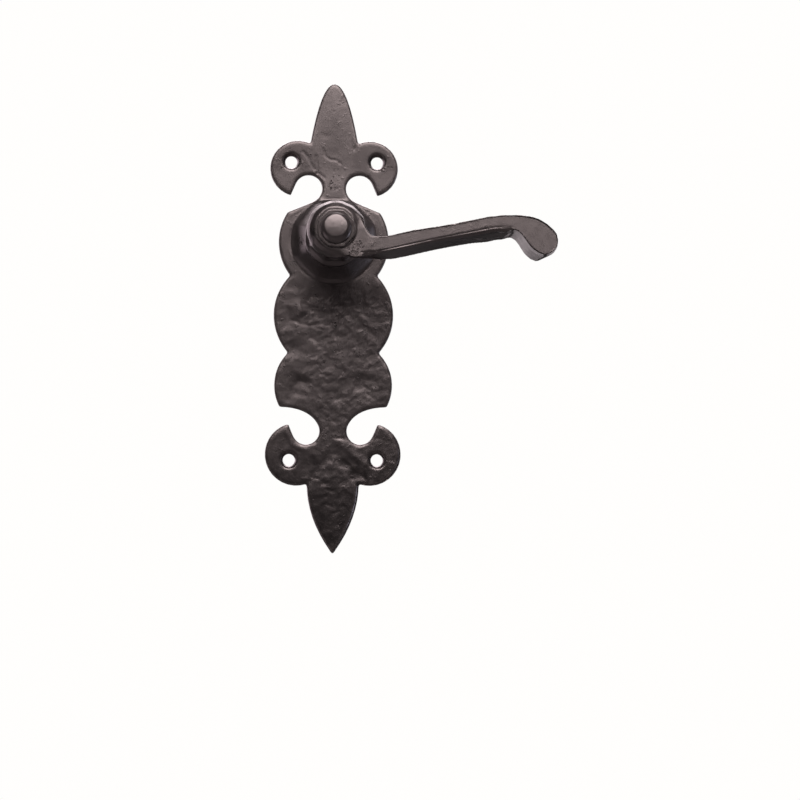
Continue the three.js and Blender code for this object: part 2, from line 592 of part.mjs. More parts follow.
/** A round bar along y, below the axis, for the grub screw and its hole. */
function grubBar(radius, from, to, sides = SMALL_SIDES) {
  const geometry = new THREE.CylinderGeometry(radius, radius, to - from, sides);
  return toSolid(geometry.translate(0, -(from + to) / 2, GRUB_HEIGHT));
}

/** Distance from the axis to the grub screw's outer end. */
function grubOuterEnd() {
  const foot = COLLAR_TOP + 2 * COLLAR_CHAMFER;
  const share = (GRUB_HEIGHT - foot) / (NECK_WAIST_HEIGHT - foot);
  const surface = THREE.MathUtils.lerp(NECK_FOOT_RADIUS, NECK_WAIST_RADIUS, Math.sin(share * Math.PI / 2));
  return surface - GRUB_SINK;
}

/** The neck: journal, collar, waist and the square tenon that carries the lever. */
function spindleNeck() {
  const journal = join([
    keyedBar(0, JOURNAL_END, DRIVE_FRONT + RUNNING_GAP / 2),
    bar(JOURNAL_RADIUS, DRIVE_FRONT + RUNNING_GAP / 2, COLLAR_BACK + 1),
  ]);
  const tenon = block(TENON_SIZE, TENON_SIZE, EYE_BACK - 1, TENON_END);
  const groove = ring(JOURNAL_RADIUS - CIRCLIP_GROOVE_DEPTH, JOURNAL_RADIUS + CUT_PAST,
    CIRCLIP_BACK - FIT_GAP, WAVE_BACK + FIT_GAP);
  return cut(join([journal, neckBody(), tenon]), [
    groove,
    block(SPINDLE_SIZE, SPINDLE_SIZE, JOURNAL_END - CUT_PAST, SPINDLE_SOCKET_END),
    grubBar(GRUB_RADIUS + FIT_GAP, 0, COLLAR_RADIUS),
    bar(RIVET_SHANK_RADIUS + FIT_GAP, WASHER_FRONT - RIVET_SHANK_LENGTH - FIT_GAP, TENON_END + CUT_PAST,
      { sides: SMALL_SIDES }),
  ]);
}

/** The screw under the neck that grips the spindle, with its hexagon socket. */
function grubScrew() {
  const end = grubOuterEnd();
  const socket = grubBar(GRUB_HEX_RADIUS, end - GRUB_HEX_DEPTH, end + CUT_PAST, 6);
  return grubBar(GRUB_RADIUS, end - GRUB_LENGTH, end).subtract(socket);
}

/** How far out from the door the arm's back and front lie at a distance along it. */
function armLevels(x) {
  const flare = ease(x, ARM_FLARE_START, ARM_FLARE_END);
  return { back: EYE_BACK - ARM_BACK_FLARE * flare, front: ARM_FRONT_ROOT + ARM_FRONT_FLARE * flare };
}

/** One ring of the arm's outline, at a share of the way from its back to its front. */
function armRing(share, setback) {
  const spline = (shares) => new THREE.SplineCurve(
    shares.map(([along, height]) => new THREE.Vector2(along * ARM_REACH, height * ARM_CREST)))
    .getPoints(ARM_EDGE_STEPS);
  const scroll = new THREE.EllipseCurve(ARM_REACH - SCROLL_RADIUS, -SCROLL_DROP, SCROLL_RADIUS,
    SCROLL_RADIUS, 0, -Math.PI / 2, true).getPoints(CURVE_STEPS);
  const undercutAt = (x) => {
    const start = ease(x, NECK_TOP_RADIUS / 2, ARM_UNDERCUT_FULL);
    const fade = ease(x, ARM_UNDERCUT_FADE_START, ARM_UNDERCUT_FADE_END);
    return ARM_UNDERCUT * start * (1 - (1 - ARM_UNDERCUT_END_SHARE) * fade);
  };
  const upper = [...spline(ARM_UPPER_EDGE), ...scroll.slice(0, CURVE_STEPS / 2)];
  const lower = [...scroll.slice(CURVE_STEPS / 2), ...spline(ARM_LOWER_EDGE)]
    .map((point) => new THREE.Vector2(point.x, point.y - undercutAt(point.x) * (1 - share)));
  return [...upper, ...lower].reverse().map((point) => {
    const x = point.x - setback * ease(point.x, 0.8 * ARM_REACH, ARM_REACH);
    const { back, front } = armLevels(point.x);
    return new THREE.Vector3(x, point.y, THREE.MathUtils.lerp(back, front, share));
  });
}

/** The eye at the lever's root, which fits on the neck's tenon. */
function eyeBody() {
  const depth = EYE_FRONT - EYE_BACK;
  const shoulder = EYE_RADIUS - EYE_FACE_RADIUS;
  return loft([
    octagon(NECK_TOP_RADIUS, EYE_BACK),
    octagon(THREE.MathUtils.lerp(NECK_TOP_RADIUS, EYE_RADIUS, 0.55), EYE_BACK + 0.28 * depth),
    octagon(EYE_RADIUS, EYE_BACK + 0.52 * depth, EYE_SHARPNESS),
    octagon(EYE_RADIUS, EYE_BACK + 0.68 * depth, EYE_SHARPNESS),
    octagon(EYE_RADIUS - 0.4 * shoulder, EYE_BACK + 0.88 * depth, EYE_SHARPNESS),
    octagon(EYE_FACE_RADIUS, EYE_FRONT, EYE_SHARPNESS),
  ]);
}

/** The lever itself: the eye with its square hole, and the arm with its scrolled end. */
function leverArm() {
  const arm = loft([armRing(0, ARM_END_SETBACK_BACK), armRing(0.65, 0), armRing(1, ARM_END_SETBACK_FRONT)]);
  const hole = block(TENON_SIZE + 2 * FIT_GAP, TENON_SIZE + 2 * FIT_GAP,
    EYE_BACK - CUT_PAST, EYE_FRONT + CUT_PAST);
  return eyeBody().add(arm).subtract(hole);
}

/** The eight-sided washer under the rivet's head. */
function headWasher() {
  const edge = HEAD_WASHER_THICKNESS / 3;
  const plate = loft([
    octagon(HEAD_WASHER_RADIUS, EYE_FRONT, 1), octagon(HEAD_WASHER_RADIUS, WASHER_FRONT - edge, 1),
    octagon(HEAD_WASHER_RADIUS - edge, WASHER_FRONT, 1),
  ]);
  return plate.subtract(bar(RIVET_SHANK_RADIUS + FIT_GAP, EYE_FRONT - CUT_PAST, WASHER_FRONT + CUT_PAST,
    { sides: SMALL_SIDES }));
}

/** The rivet with a domed head that closes the end of the tenon. */
function domeRivet() {
  const shankEnd = WASHER_FRONT - RIVET_SHANK_LENGTH;
  const dome = Array.from({ length: CURVE_STEPS + 1 }, (_, i) => {
    const angle = (i / CURVE_STEPS) * Math.PI / 2;
    return [RIVET_HEAD_RADIUS * Math.cos(angle), WASHER_FRONT + RIVET_HEAD_HEIGHT * Math.sin(angle)];
  });
  dome[CURVE_STEPS][0] = 0;
  return turned([
    [0, shankEnd], [RIVET_SHANK_RADIUS, shankEnd], [RIVET_SHANK_RADIUS, WASHER_FRONT], ...dome,
  ]);
}

const blackIron = () => new THREE.MeshStandardMaterial({ color: 0x2e2a2b, roughness: 0.55, metalness: 0.4 });
const steel = () => new THREE.MeshStandardMaterial({ color: 0xa7a9ab, roughness: 0.35, metalness: 1 });
const springSteel = () => new THREE.MeshStandardMaterial({ color: 0x6f7278, roughness: 0.3, metalness: 1 });
const bronze = () => new THREE.MeshStandardMaterial({ color: 0xa9793f, roughness: 0.4, metalness: 1 });

/** Adds a named piece to a group, at a place about the spindle axis. */
function addPiece(group, name, solid, material, place = new THREE.Vector2()) {
  const piece = new THREE.Mesh(toGeometry(solid), material);
  piece.name = name;
  piece.position.set(place.x, 0, place.y);
  group.add(piece);
}

/** The pieces that stay on the door. */
function fixedPieces() {
  const group = new THREE.Group();
  const anchor = anchorPinPlace();
  addPiece(group, 'backplate', backplate(), blackIron());
  addPiece(group, 'journal_bush', ring(BUSH_BORE, BUSH_BORE + BUSH_WALL, WEB_BACK, WASHER_SEAT), bronze());
  addPiece(group, 'front_washer', ring(BUSH_BORE, FRONT_WASHER_RADIUS, WASHER_SEAT, ROSE_TOP), bronze());
  addPiece(group, 'thrust_washer', ring(BUSH_BORE, THRUST_WASHER_RADIUS, THRUST_BACK, WEB_BACK), bronze());
  stopPinPlaces().forEach((place, i) => {
    const pin = bar(STOP_PIN_RADIUS, DRIVE_BACK, WEB_BACK + STOP_PIN_SEAT - FIT_GAP, { sides: SMALL_SIDES });
    addPiece(group, `stop_pin_${i + 1}`, pin, steel(), place);
  });
  addPiece(group, 'spring_anchor_pin',
    bar(ANCHOR_PIN_RADIUS, COVER_RECESS_DEPTH + FIT_GAP,
      ANCHOR_POCKET_CEILING + ANCHOR_PIN_SEAT - FIT_GAP, { sides: SMALL_SIDES }), steel(), anchor);
  addPiece(group, 'return_spring', returnSpring(), springSteel());
  addPiece(group, 'rear_cover', rearCover(), steel());
  coverScrewPlaces().forEach((place, i) => {
    addPiece(group, `cover_screw_${i + 1}`, coverScrew(), steel(), place);
  });
  return group;
}

/** The pieces that turn with the lever. */
function turningPieces() {
  const group = new THREE.Group();
  addPiece(group, 'spindle_neck', spindleNeck(), blackIron());
  addPiece(group, 'lever_arm', leverArm(), blackIron());
  addPiece(group, 'head_washer', headWasher(), blackIron());
  addPiece(group, 'dome_rivet', domeRivet(), blackIron());
  addPiece(group, 'drive_plate', drivePlate(), steel());
  addPiece(group, 'wave_washer',
    ring(BUSH_BORE, WAVE_WASHER_RADIUS, WAVE_BACK, DRIVE_BACK), springSteel());
  addPiece(group, 'circlip', circlip(), springSteel());
  addPiece(group, 'grub_screw', grubScrew(), steel());
  return group;
}

const handle = new THREE.Group();
handle.add(fixedPieces(), turningPieces());

export default handle;
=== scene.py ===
"""A sprung lever handle of black cast iron on a fleur-de-lys backplate.

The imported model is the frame. Here the castings get their worked surfaces, the pieces behind the
rose their machined ones, and every piece its finish. The spindle axis meets the door's face at the
origin, +X is the way that the lever points, +Z is up and -Y is out from the door. Blender's lengths
are metres. The dataclasses hold millimetres, and "level" is the distance out from the door's face.
"""

import logging
import math
from abc import ABC, abstractmethod
from collections.abc import Iterator
from contextlib import contextmanager
from dataclasses import dataclass
from enum import Enum
from typing import ClassVar

import bmesh
import bpy
import numpy as np
from mathutils import Matrix, Vector
from mathutils.kdtree import KDTree


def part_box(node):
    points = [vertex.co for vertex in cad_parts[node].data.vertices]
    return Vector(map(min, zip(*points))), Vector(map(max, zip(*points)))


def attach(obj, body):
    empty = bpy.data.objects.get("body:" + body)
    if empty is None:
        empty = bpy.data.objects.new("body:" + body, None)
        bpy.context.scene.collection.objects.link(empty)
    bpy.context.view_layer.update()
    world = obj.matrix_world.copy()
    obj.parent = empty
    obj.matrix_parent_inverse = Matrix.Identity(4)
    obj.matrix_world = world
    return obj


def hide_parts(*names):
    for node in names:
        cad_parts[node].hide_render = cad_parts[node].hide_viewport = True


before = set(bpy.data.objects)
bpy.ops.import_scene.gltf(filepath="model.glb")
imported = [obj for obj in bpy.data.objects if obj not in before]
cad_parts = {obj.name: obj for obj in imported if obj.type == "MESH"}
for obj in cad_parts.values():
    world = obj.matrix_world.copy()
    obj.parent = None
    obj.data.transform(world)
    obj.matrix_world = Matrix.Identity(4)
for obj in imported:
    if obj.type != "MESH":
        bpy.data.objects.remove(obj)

LOG = logging.getLogger("lever_handle")
MM = 0.001
SAME_PLACE = 1e-6  # metres, under which two vertices are one
EIGHTH = math.pi / 4
BEND_SCALE, BEND_REACH = 140.0, 0.004  # per metre and metres: how the outlines of blows wander
CELL_STEPS = np.array([374761393, 668265263, 2147483589])
FIRST_STIR, SECOND_STIR, LOW_BITS = 1274126177, 2246822519, 0xFFFFFFFF

Colour = tuple[float, float, float]
Points = np.ndarray
Socket = bpy.types.NodeSocket
Tree = bpy.types.NodeTree
Material = bpy.types.Material
Mesh = bpy.types.Mesh
Piece = bpy.types.Object


class Body(Enum):
    """The bodies that the pieces ride on."""

    PLATE = "backplate"
    LEVER = "lever"


class Slot(Enum):
    """The record's material slots."""

    PLATE_IRON = "black_iron_plate"
    LEVER_IRON = "black_iron_lever"
    BLACK_STEEL = "black_steel"
    BRONZE = "bronze"
    ZINC = "zinc_steel"
    SPRING = "spring_steel"


# Trees of nodes


class Graph:
    """Adds the nodes of one material or geometry tree and links them."""

    def __init__(self, tree: Tree) -> None:
        """Starts on an empty tree."""
        self.tree = tree
        tree.nodes.clear()

    def add(self, kind: str, inputs: dict | None = None, **settings) -> bpy.types.Node:
        """Adds one node.

        Args:
            kind: The node's type name.
            inputs: What goes into its sockets, by name or by index: a value, or another node's output.
            settings: The node's own properties.

        Returns:
            The new node.
        """
        node = self.tree.nodes.new(kind)
        for name, value in settings.items():
            setattr(node, name, value)
        for key, value in (inputs or {}).items():
            socket = node.inputs[key]
            if isinstance(value, Socket):
                self.tree.links.new(value, socket)
            else:
                socket.default_value = value
        return node

    def first(self, kind: str, inputs: dict | None = None, **settings) -> Socket:
        """Adds one node and returns its first output."""
        return self.add(kind, inputs, **settings).outputs[0]

    def math(self, operation: str, *values) -> Socket:
        """Adds a Math node of that operation and returns its result."""
        return self.first("ShaderNodeMath", dict(enumerate(values)), operation=operation)

    def vector(self, operation: str, start: Socket, other: Socket | tuple | float) -> Socket:
        """Adds a Vector Math node of that operation and returns its result."""
        second = "Scale" if operation == "SCALE" else 1
        return self.first("ShaderNodeVectorMath", {0: start, second: other}, operation=operation)

    def joined(self, x: Socket | float = 0.0, y: Socket | float = 0.0, z: Socket | float = 0.0) -> Socket:
        """Returns the vector of three numbers."""
        return self.first("ShaderNodeCombineXYZ", {0: x, 1: y, 2: z})

    def parted(self, vector: Socket) -> bpy.types.NodeOutputs:
        """Returns the three numbers of a vector."""
        return self.add("ShaderNodeSeparateXYZ", {0: vector}).outputs

    def ramp(self, factor: Socket, low: float, high: float) -> Socket:
        """Returns a smooth step from 0 to 1 as the factor goes from low to high."""
        return self.first("ShaderNodeMapRange", {"Value": factor, "From Min": low, "From Max": high},
                          interpolation_type="SMOOTHSTEP", clamp=True)

    def noise(self, position: Socket, size: float, detail: float = 2.0, seed: float = 0.0) -> Socket:
        """Adds soft random lumps.

        Args:
            position: The place that is read, in metres.
            size: About how wide one lump is, in millimetres.
            detail: How many finer layers lie on it.
            seed: Which pattern it is.

        Returns:
            A value from 0 to 1, mostly near 0.5.
        """
        return self.first("ShaderNodeTexNoise", {"Vector": position, "W": seed, "Scale": 1 / (size * MM),
                                                 "Detail": detail}, noise_dimensions="4D")

    def mix(self, factor: Socket, low: Socket | Colour, high: Socket | Colour) -> Socket:
        """Returns a colour between two others, each of them written out or from a node."""
        node = self.add("ShaderNodeMix", {"Factor": factor}, data_type="RGBA")
        for key, colour in ((6, low), (7, high)):
            if isinstance(colour, Socket):
                self.tree.links.new(colour, node.inputs[key])
            else:
                node.inputs[key].default_value = (*colour, 1)
        return node.outputs[2]

    def noted(self, name: str) -> Socket:
        """Returns the number that a material finds noted at each vertex."""
        return self.add("ShaderNodeAttribute", attribute_name=name).outputs["Fac"]

    def surface(self, relief: Socket, look: dict) -> None:
        """Ends a material in a shader of that look, over a relief in metres."""
        bump = self.first("ShaderNodeBump", {"Height": relief, "Distance": 1.0, "Strength": 1.0})
        shader = self.first("ShaderNodeBsdfPrincipled", {**look, "Normal": bump})
        self.add("ShaderNodeOutputMaterial", {"Surface": shader})

    def shown(self, end: str, seen: Socket, plain: Socket, bright: Socket) -> None:
        """Ends a studio's tree in a plain shader, and in a bright one where it is seen."""
        both = self.first("ShaderNodeMixShader", {0: seen, 1: plain, 2: bright})
        self.add(end, {"Surface": both})


# Random fields and marks for the worked surfaces


def smoothstep(value: Points, low: float, high: float) -> Points:
    """Returns a smooth step from 0 to 1 as the value goes from low to high."""
    share = np.clip((value - low) / (high - low), 0, 1)
    return share * share * (3 - 2 * share)


def fading(value: Points, low: float, high: float) -> Points:
    """Returns a smooth step from 1 to 0 as the value goes from low to high."""
    return 1 - smoothstep(value, low, high)


def between(value: Points, outer: float, inner: float, last_inner: float, last_outer: float) -> Points:
    """Returns 1 from inner to last inner, and less outside, down to 0 at the outer limits."""
    return smoothstep(value, outer, inner) * fading(value, last_inner, last_outer)


def stepped(value: Points, start: float, *steps: tuple[float, float, float]) -> Points:
    """Returns a height that changes in smooth steps.

    Args:
        value: Where each point lies.
        start: The height before the first step.
        steps: For each step the change, and the two values that it lies between.

    Returns:
        The height at each point.
    """
    height = np.full(len(value), start)
    for change, low, high in steps:
        height += change * smoothstep(value, low, high)
    return height


def from_axis(points: Points) -> Points:
    """Returns the distance of each point from the spindle axis."""
    return np.hypot(points[:, 0], points[:, 2])


def round_axis(points: Points) -> Points:
    """Returns the angle of each point about the spindle axis, in degrees up from the lever's way."""
    return np.degrees(np.arctan2(points[:, 2], points[:, 0]))


def from_flat(points: Points) -> Points:
    """Returns the angle of each point from the middle of the nearest of eight sides."""
    angle = np.arctan2(points[:, 2], points[:, 0])
    return (angle + EIGHTH / 2) % EIGHTH - EIGHTH / 2


@dataclass(frozen=True)
class Lumps:
    """Soft random lumps of one width, the same in each run."""

    width: float
    seed: int

    def at(self, points: Points) -> Points:
        """Returns a value from -1 to 1 for each point."""
        scaled = points / self.width
        cell = np.floor(scaled).astype(np.int64)
        part = scaled - cell
        ease = part * part * (3 - 2 * part)
        total = np.zeros(len(points))
        for corner in np.ndindex(2, 2, 2):
            key = (cell + corner) @ CELL_STEPS
            key = (key + self.seed * FIRST_STIR) & LOW_BITS
            key = ((key ^ (key >> 13)) * FIRST_STIR) & LOW_BITS
            key = ((key ^ (key >> 16)) * SECOND_STIR) & LOW_BITS
            value = ((key >> 8) & 0xFFFF) / 32767.5 - 1
            total += value * np.prod(np.where(corner, ease, 1 - ease), axis=1)
        return total


@dataclass(frozen=True)
class Mark:
    """One oval lump, or with a negative lift one hollow, in a face that looks out from the door.

    With a positive tip its upper side is the steeper one, and with a negative tip its lower side.
    """

    x: float
    z: float
    width: float
    height: float
    lift: float
    turn: float = 0.0
    tip: float = 0.0

    def at(self, points: Points) -> Points:
        """Returns the lift at each point."""
        angle = math.radians(self.turn)
        dx, dz = points[:, 0] - self.x, points[:, 2] - self.z
        along = (dx * math.cos(angle) + dz * math.sin(angle)) / (self.width / 2)
        across = (dz * math.cos(angle) - dx * math.sin(angle)) / (self.height / 2)
        across /= np.where(across > 0, 1 - self.tip, 1 + self.tip)
        return self.lift * fading(np.hypot(along, across), 0.0, 1.0)


@dataclass(frozen=True)
class Crease:
    """A groove, or with a positive lift a ridge, along a line of points in such a face."""

    width: float
    lift: float
    line: tuple[tuple[float, float], ...]

    def at(self, points: Points) -> Points:
        """Returns the lift at each point."""
        flat = points[:, [0, 2]]
        nearest = np.full(len(flat), np.inf)
        for start, end in zip(self.line, self.line[1:]):
            start, run = np.array(start), np.subtract(end, start)
            share = np.clip((flat - start) @ run / (run @ run), 0, 1)
            nearest = np.minimum(nearest, np.linalg.norm(flat - start - share[:, None] * run, axis=1))
        return self.lift * np.exp(-(nearest / (self.width / 2)) ** 2)


@dataclass(frozen=True)
class Wander:
    """Bends the outlines of marks, so that none is a true oval or line."""

    reach: float
    width: float
    seed: int
    finer: float = 2.7
    finer_share: float = 0.35

    def over(self, points: Points) -> Points:
        """Returns the points, each moved a little across the door's face."""
        moved = points.copy()
        for axis, seed in ((0, self.seed), (2, self.seed + 1)):
            moved[:, axis] += self.reach * Lumps(self.width, seed).at(points)
            finer = Lumps(self.width / self.finer, seed + 2).at(points)
            moved[:, axis] += self.finer_share * self.reach * finer
        return moved


# Meshes


def positions(mesh: Mesh) -> Points:
    """Returns a mesh's vertices in millimetres."""
    values = np.empty(len(mesh.vertices) * 3, np.float32)
    mesh.vertices.foreach_get("co", values)
    return values.reshape(-1, 3).astype(float) / MM


def normals(mesh: Mesh) -> Points:
    """Returns the normals of a mesh's vertices."""
    values = np.empty(len(mesh.vertices) * 3, np.float32)
    mesh.vertex_normals.foreach_get("vector", values)
    return values.reshape(-1, 3).astype(float)


def place(mesh: Mesh, points: Points) -> None:
    """Moves a mesh's vertices to these places in millimetres."""
    mesh.vertices.foreach_set("co", (points * MM).astype(np.float32).ravel())
    mesh.update()


def note(mesh: Mesh, name: str, values: Points) -> None:
    """Writes one number for each vertex, which the trees read by name."""
    attribute = mesh.attributes.get(name) or mesh.attributes.new(name, "FLOAT", "POINT")
    attribute.data.foreach_set("value", values.astype(np.float32))


def evened(mesh: Mesh, values: Points, rounds: int) -> Points:
    """Evens out values at the vertices of a mesh along its edges.

    Args:
        mesh: The mesh whose edges join the vertices.
        values: A number or a vector for each vertex.
        rounds: How many times each value goes halfway to its neighbours' mean.

    Returns:
        The evened values.
    """
    pairs = np.empty(len(mesh.edges) * 2, np.int32)
    mesh.edges.foreach_get("vertices", pairs)
    first, second = pairs.reshape(-1, 2).T
    count = np.maximum(np.bincount(pairs, minlength=len(values)), 1)
    columns = values.reshape(len(values), -1).copy()
    for _ in range(rounds):
        for column in columns.T:
            total = (np.bincount(first, column[second], len(column))
                     + np.bincount(second, column[first], len(column)))
            column += 0.5 * (total / count - column)
    return columns.reshape(values.shape)


def blank(name: str, mesh: Mesh) -> Piece:
    """Puts a mesh into the scene as a new piece at the origin."""
    piece = bpy.data.objects.new(name, mesh)
    bpy.context.scene.collection.objects.link(piece)
    return piece


def settled(piece: Piece) -> Piece:
    """Turns what a piece's modifiers make into its own plain mesh, and removes them."""
    shown = piece.evaluated_get(bpy.context.evaluated_depsgraph_get())
    mesh = bpy.data.meshes.new_from_object(shown)
    piece.modifiers.clear()
    piece.data = mesh
    mesh.name = piece.name
    return piece


@contextmanager
def opened(mesh: Mesh) -> Iterator[bmesh.types.BMesh]:
    """Opens a mesh for work on its faces and edges, and writes the result back into it."""
    work = bmesh.new()
    work.from_mesh(mesh)
    yield work
    work.to_mesh(mesh)
    work.free()


def joined_up(work: bmesh.types.BMesh) -> None:
    """Joins vertices that lie in one place, and turns the faces outward."""
    bmesh.ops.remove_doubles(work, verts=work.verts, dist=SAME_PLACE)
    bmesh.ops.recalc_face_normals(work, faces=work.faces)


def merged_copy(node: str) -> Mesh:
    """Returns a copy of a node's mesh with its loose triangles joined."""
    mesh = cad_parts[node].data.copy()
    with opened(mesh) as work:
        joined_up(work)
    mesh.materials.clear()
    for layer in list(mesh.uv_layers):
        mesh.uv_layers.remove(layer)
    return mesh


def edges_of(node: str) -> Iterator[tuple[Points, Points, list[Vector]]]:
    """Gives the two ends of each edge of a node's shape, and the normals of the faces beside it."""
    with opened(merged_copy(node)) as work:
        for edge in work.edges:
            start, end = (np.array(vertex.co) / MM for vertex in edge.verts)
            yield start, end, [face.normal for face in edge.link_faces]


def skin(name: str, rings: Points, around: bool = False) -> Mesh:
    """Builds a closed mesh over matching rings of points.

    Args:
        name: The mesh's name.
        rings: Millimetres, as an array of rings by points by three.
        around: True if the last ring joins the first one, as in a washer. Otherwise both ends close
            on a point in the middle of their ring.

    Returns:
        The mesh, with its faces outward.
    """
    count, sides = rings.shape[:2]
    mesh = bpy.data.meshes.new(name)
    with opened(mesh) as work:
        rows = [[work.verts.new(Vector(point) * MM) for point in ring] for ring in rings]
        for i in range(count if around else count - 1):
            low, high = rows[i], rows[(i + 1) % count]
            for j in range(sides):
                work.faces.new((low[j], low[(j + 1) % sides], high[(j + 1) % sides], high[j]))
        for row in () if around else (rows[0], rows[-1]):
            pole = work.verts.new(sum((vertex.co for vertex in row), Vector()) / sides)
            for j in range(sides):
                work.faces.new((row[j], row[(j + 1) % sides], pole))
        joined_up(work)
    return mesh


def round_ring(radius: float, level: float, sides: int) -> Points:
    """Returns a ring of points about the spindle axis."""
    angle = np.arange(sides) / sides * 2 * math.pi
    return np.stack([radius * np.cos(angle), np.full(sides, -level), radius * np.sin(angle)], axis=1)


def eight_sided_ring(radius: float, level: float, steps: int, sharpness: float) -> Points:
    """Returns an eight-sided ring with flats to the right and on top.

    Args:
        radius: From the axis to the middle of a side.
        level: Its distance out from the door's face.
        steps: How many points each side has.
        sharpness: How far its corners stand out, from round at 0 to sharp at 1.

    Returns:
        The ring's points in millimetres.
    """
    ring = round_ring(1.0, level, 8 * steps)
    reach = radius * (1 + sharpness * (1 / np.cos(from_flat(ring)) - 1))
    ring[:, [0, 2]] *= reach[:, None]
    return ring


def walked(start: Points, end: Points, stride: float) -> Points:
    """Returns points from one end of an edge to the other, about a stride apart."""
    steps = max(2, math.ceil(np.linalg.norm(end - start) / stride))
    return start + (end - start) * np.linspace(0, 1, steps)[:, None]


def toward(points: Points, edge_points: Points, reach: float) -> tuple[Points, Points]:
    """Finds the nearest of some edge points to each point.

    Args:
        points: The points to start from.
        edge_points: The points along the edge.
        reach: How far is far enough: a greater distance is given as this one.

    Returns:
        The distance of each point, and the number of its nearest edge point.
    """
    tree = KDTree(len(edge_points))
    for i, point in enumerate(edge_points):
        tree.insert(Vector(point), i)
    tree.balance()
    distance = np.full(len(points), reach)
    nearest = np.zeros(len(points), int)
    for i, point in enumerate(points):
        _, nearest[i], found = tree.find(Vector(point))
        distance[i] = min(found, reach)
    return distance, nearest


def shade(mesh: Mesh, sharp_angle: float | None = None) -> None:
    """Shades a mesh smooth, but for edges sharper than an angle in degrees."""
    mesh.polygons.foreach_set("use_smooth", np.ones(len(mesh.polygons), bool))
    if sharp_angle is not None:
        mesh.set_sharp_from_angle(angle=math.radians(sharp_angle))
    mesh.update()


def rubbed(mesh: Mesh, low: float = 0.012, high: float = 0.06) -> None:
    """Notes how much each place stands proud, from low to high, where hands rub the lacquer."""
    points = positions(mesh)
    proud = np.sum((points - evened(mesh, points, 3)) * normals(mesh), axis=1)
    note(mesh, "rub", smoothstep(evened(mesh, proud, 1), low, high))


def kept_in_box(mesh: Mesh, node: str) -> None:
    """Holds a piece inside the box of its CAD node."""
    low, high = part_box(node)
    place(mesh, np.clip(positions(mesh), np.array(low) / MM, np.array(high) / MM))


def finish_piece(piece: Piece, body: Body, slot: Slot, *nodes: str) -> None:
    """Sets a piece on its body in place of its CAD nodes, and logs it."""
    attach(piece, body.value)
    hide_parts(*nodes)
    LOG.info("%s: %d faces on %s, for %s", piece.name, len(piece.data.polygons), body.value,
             ", ".join(nodes))


# Finishes


def new_material(name: str) -> tuple[Material, Graph]:
    """Starts a material and its graph."""
    made = bpy.data.materials.new(name)
    made.use_nodes = True
    return made, Graph(made.node_tree)


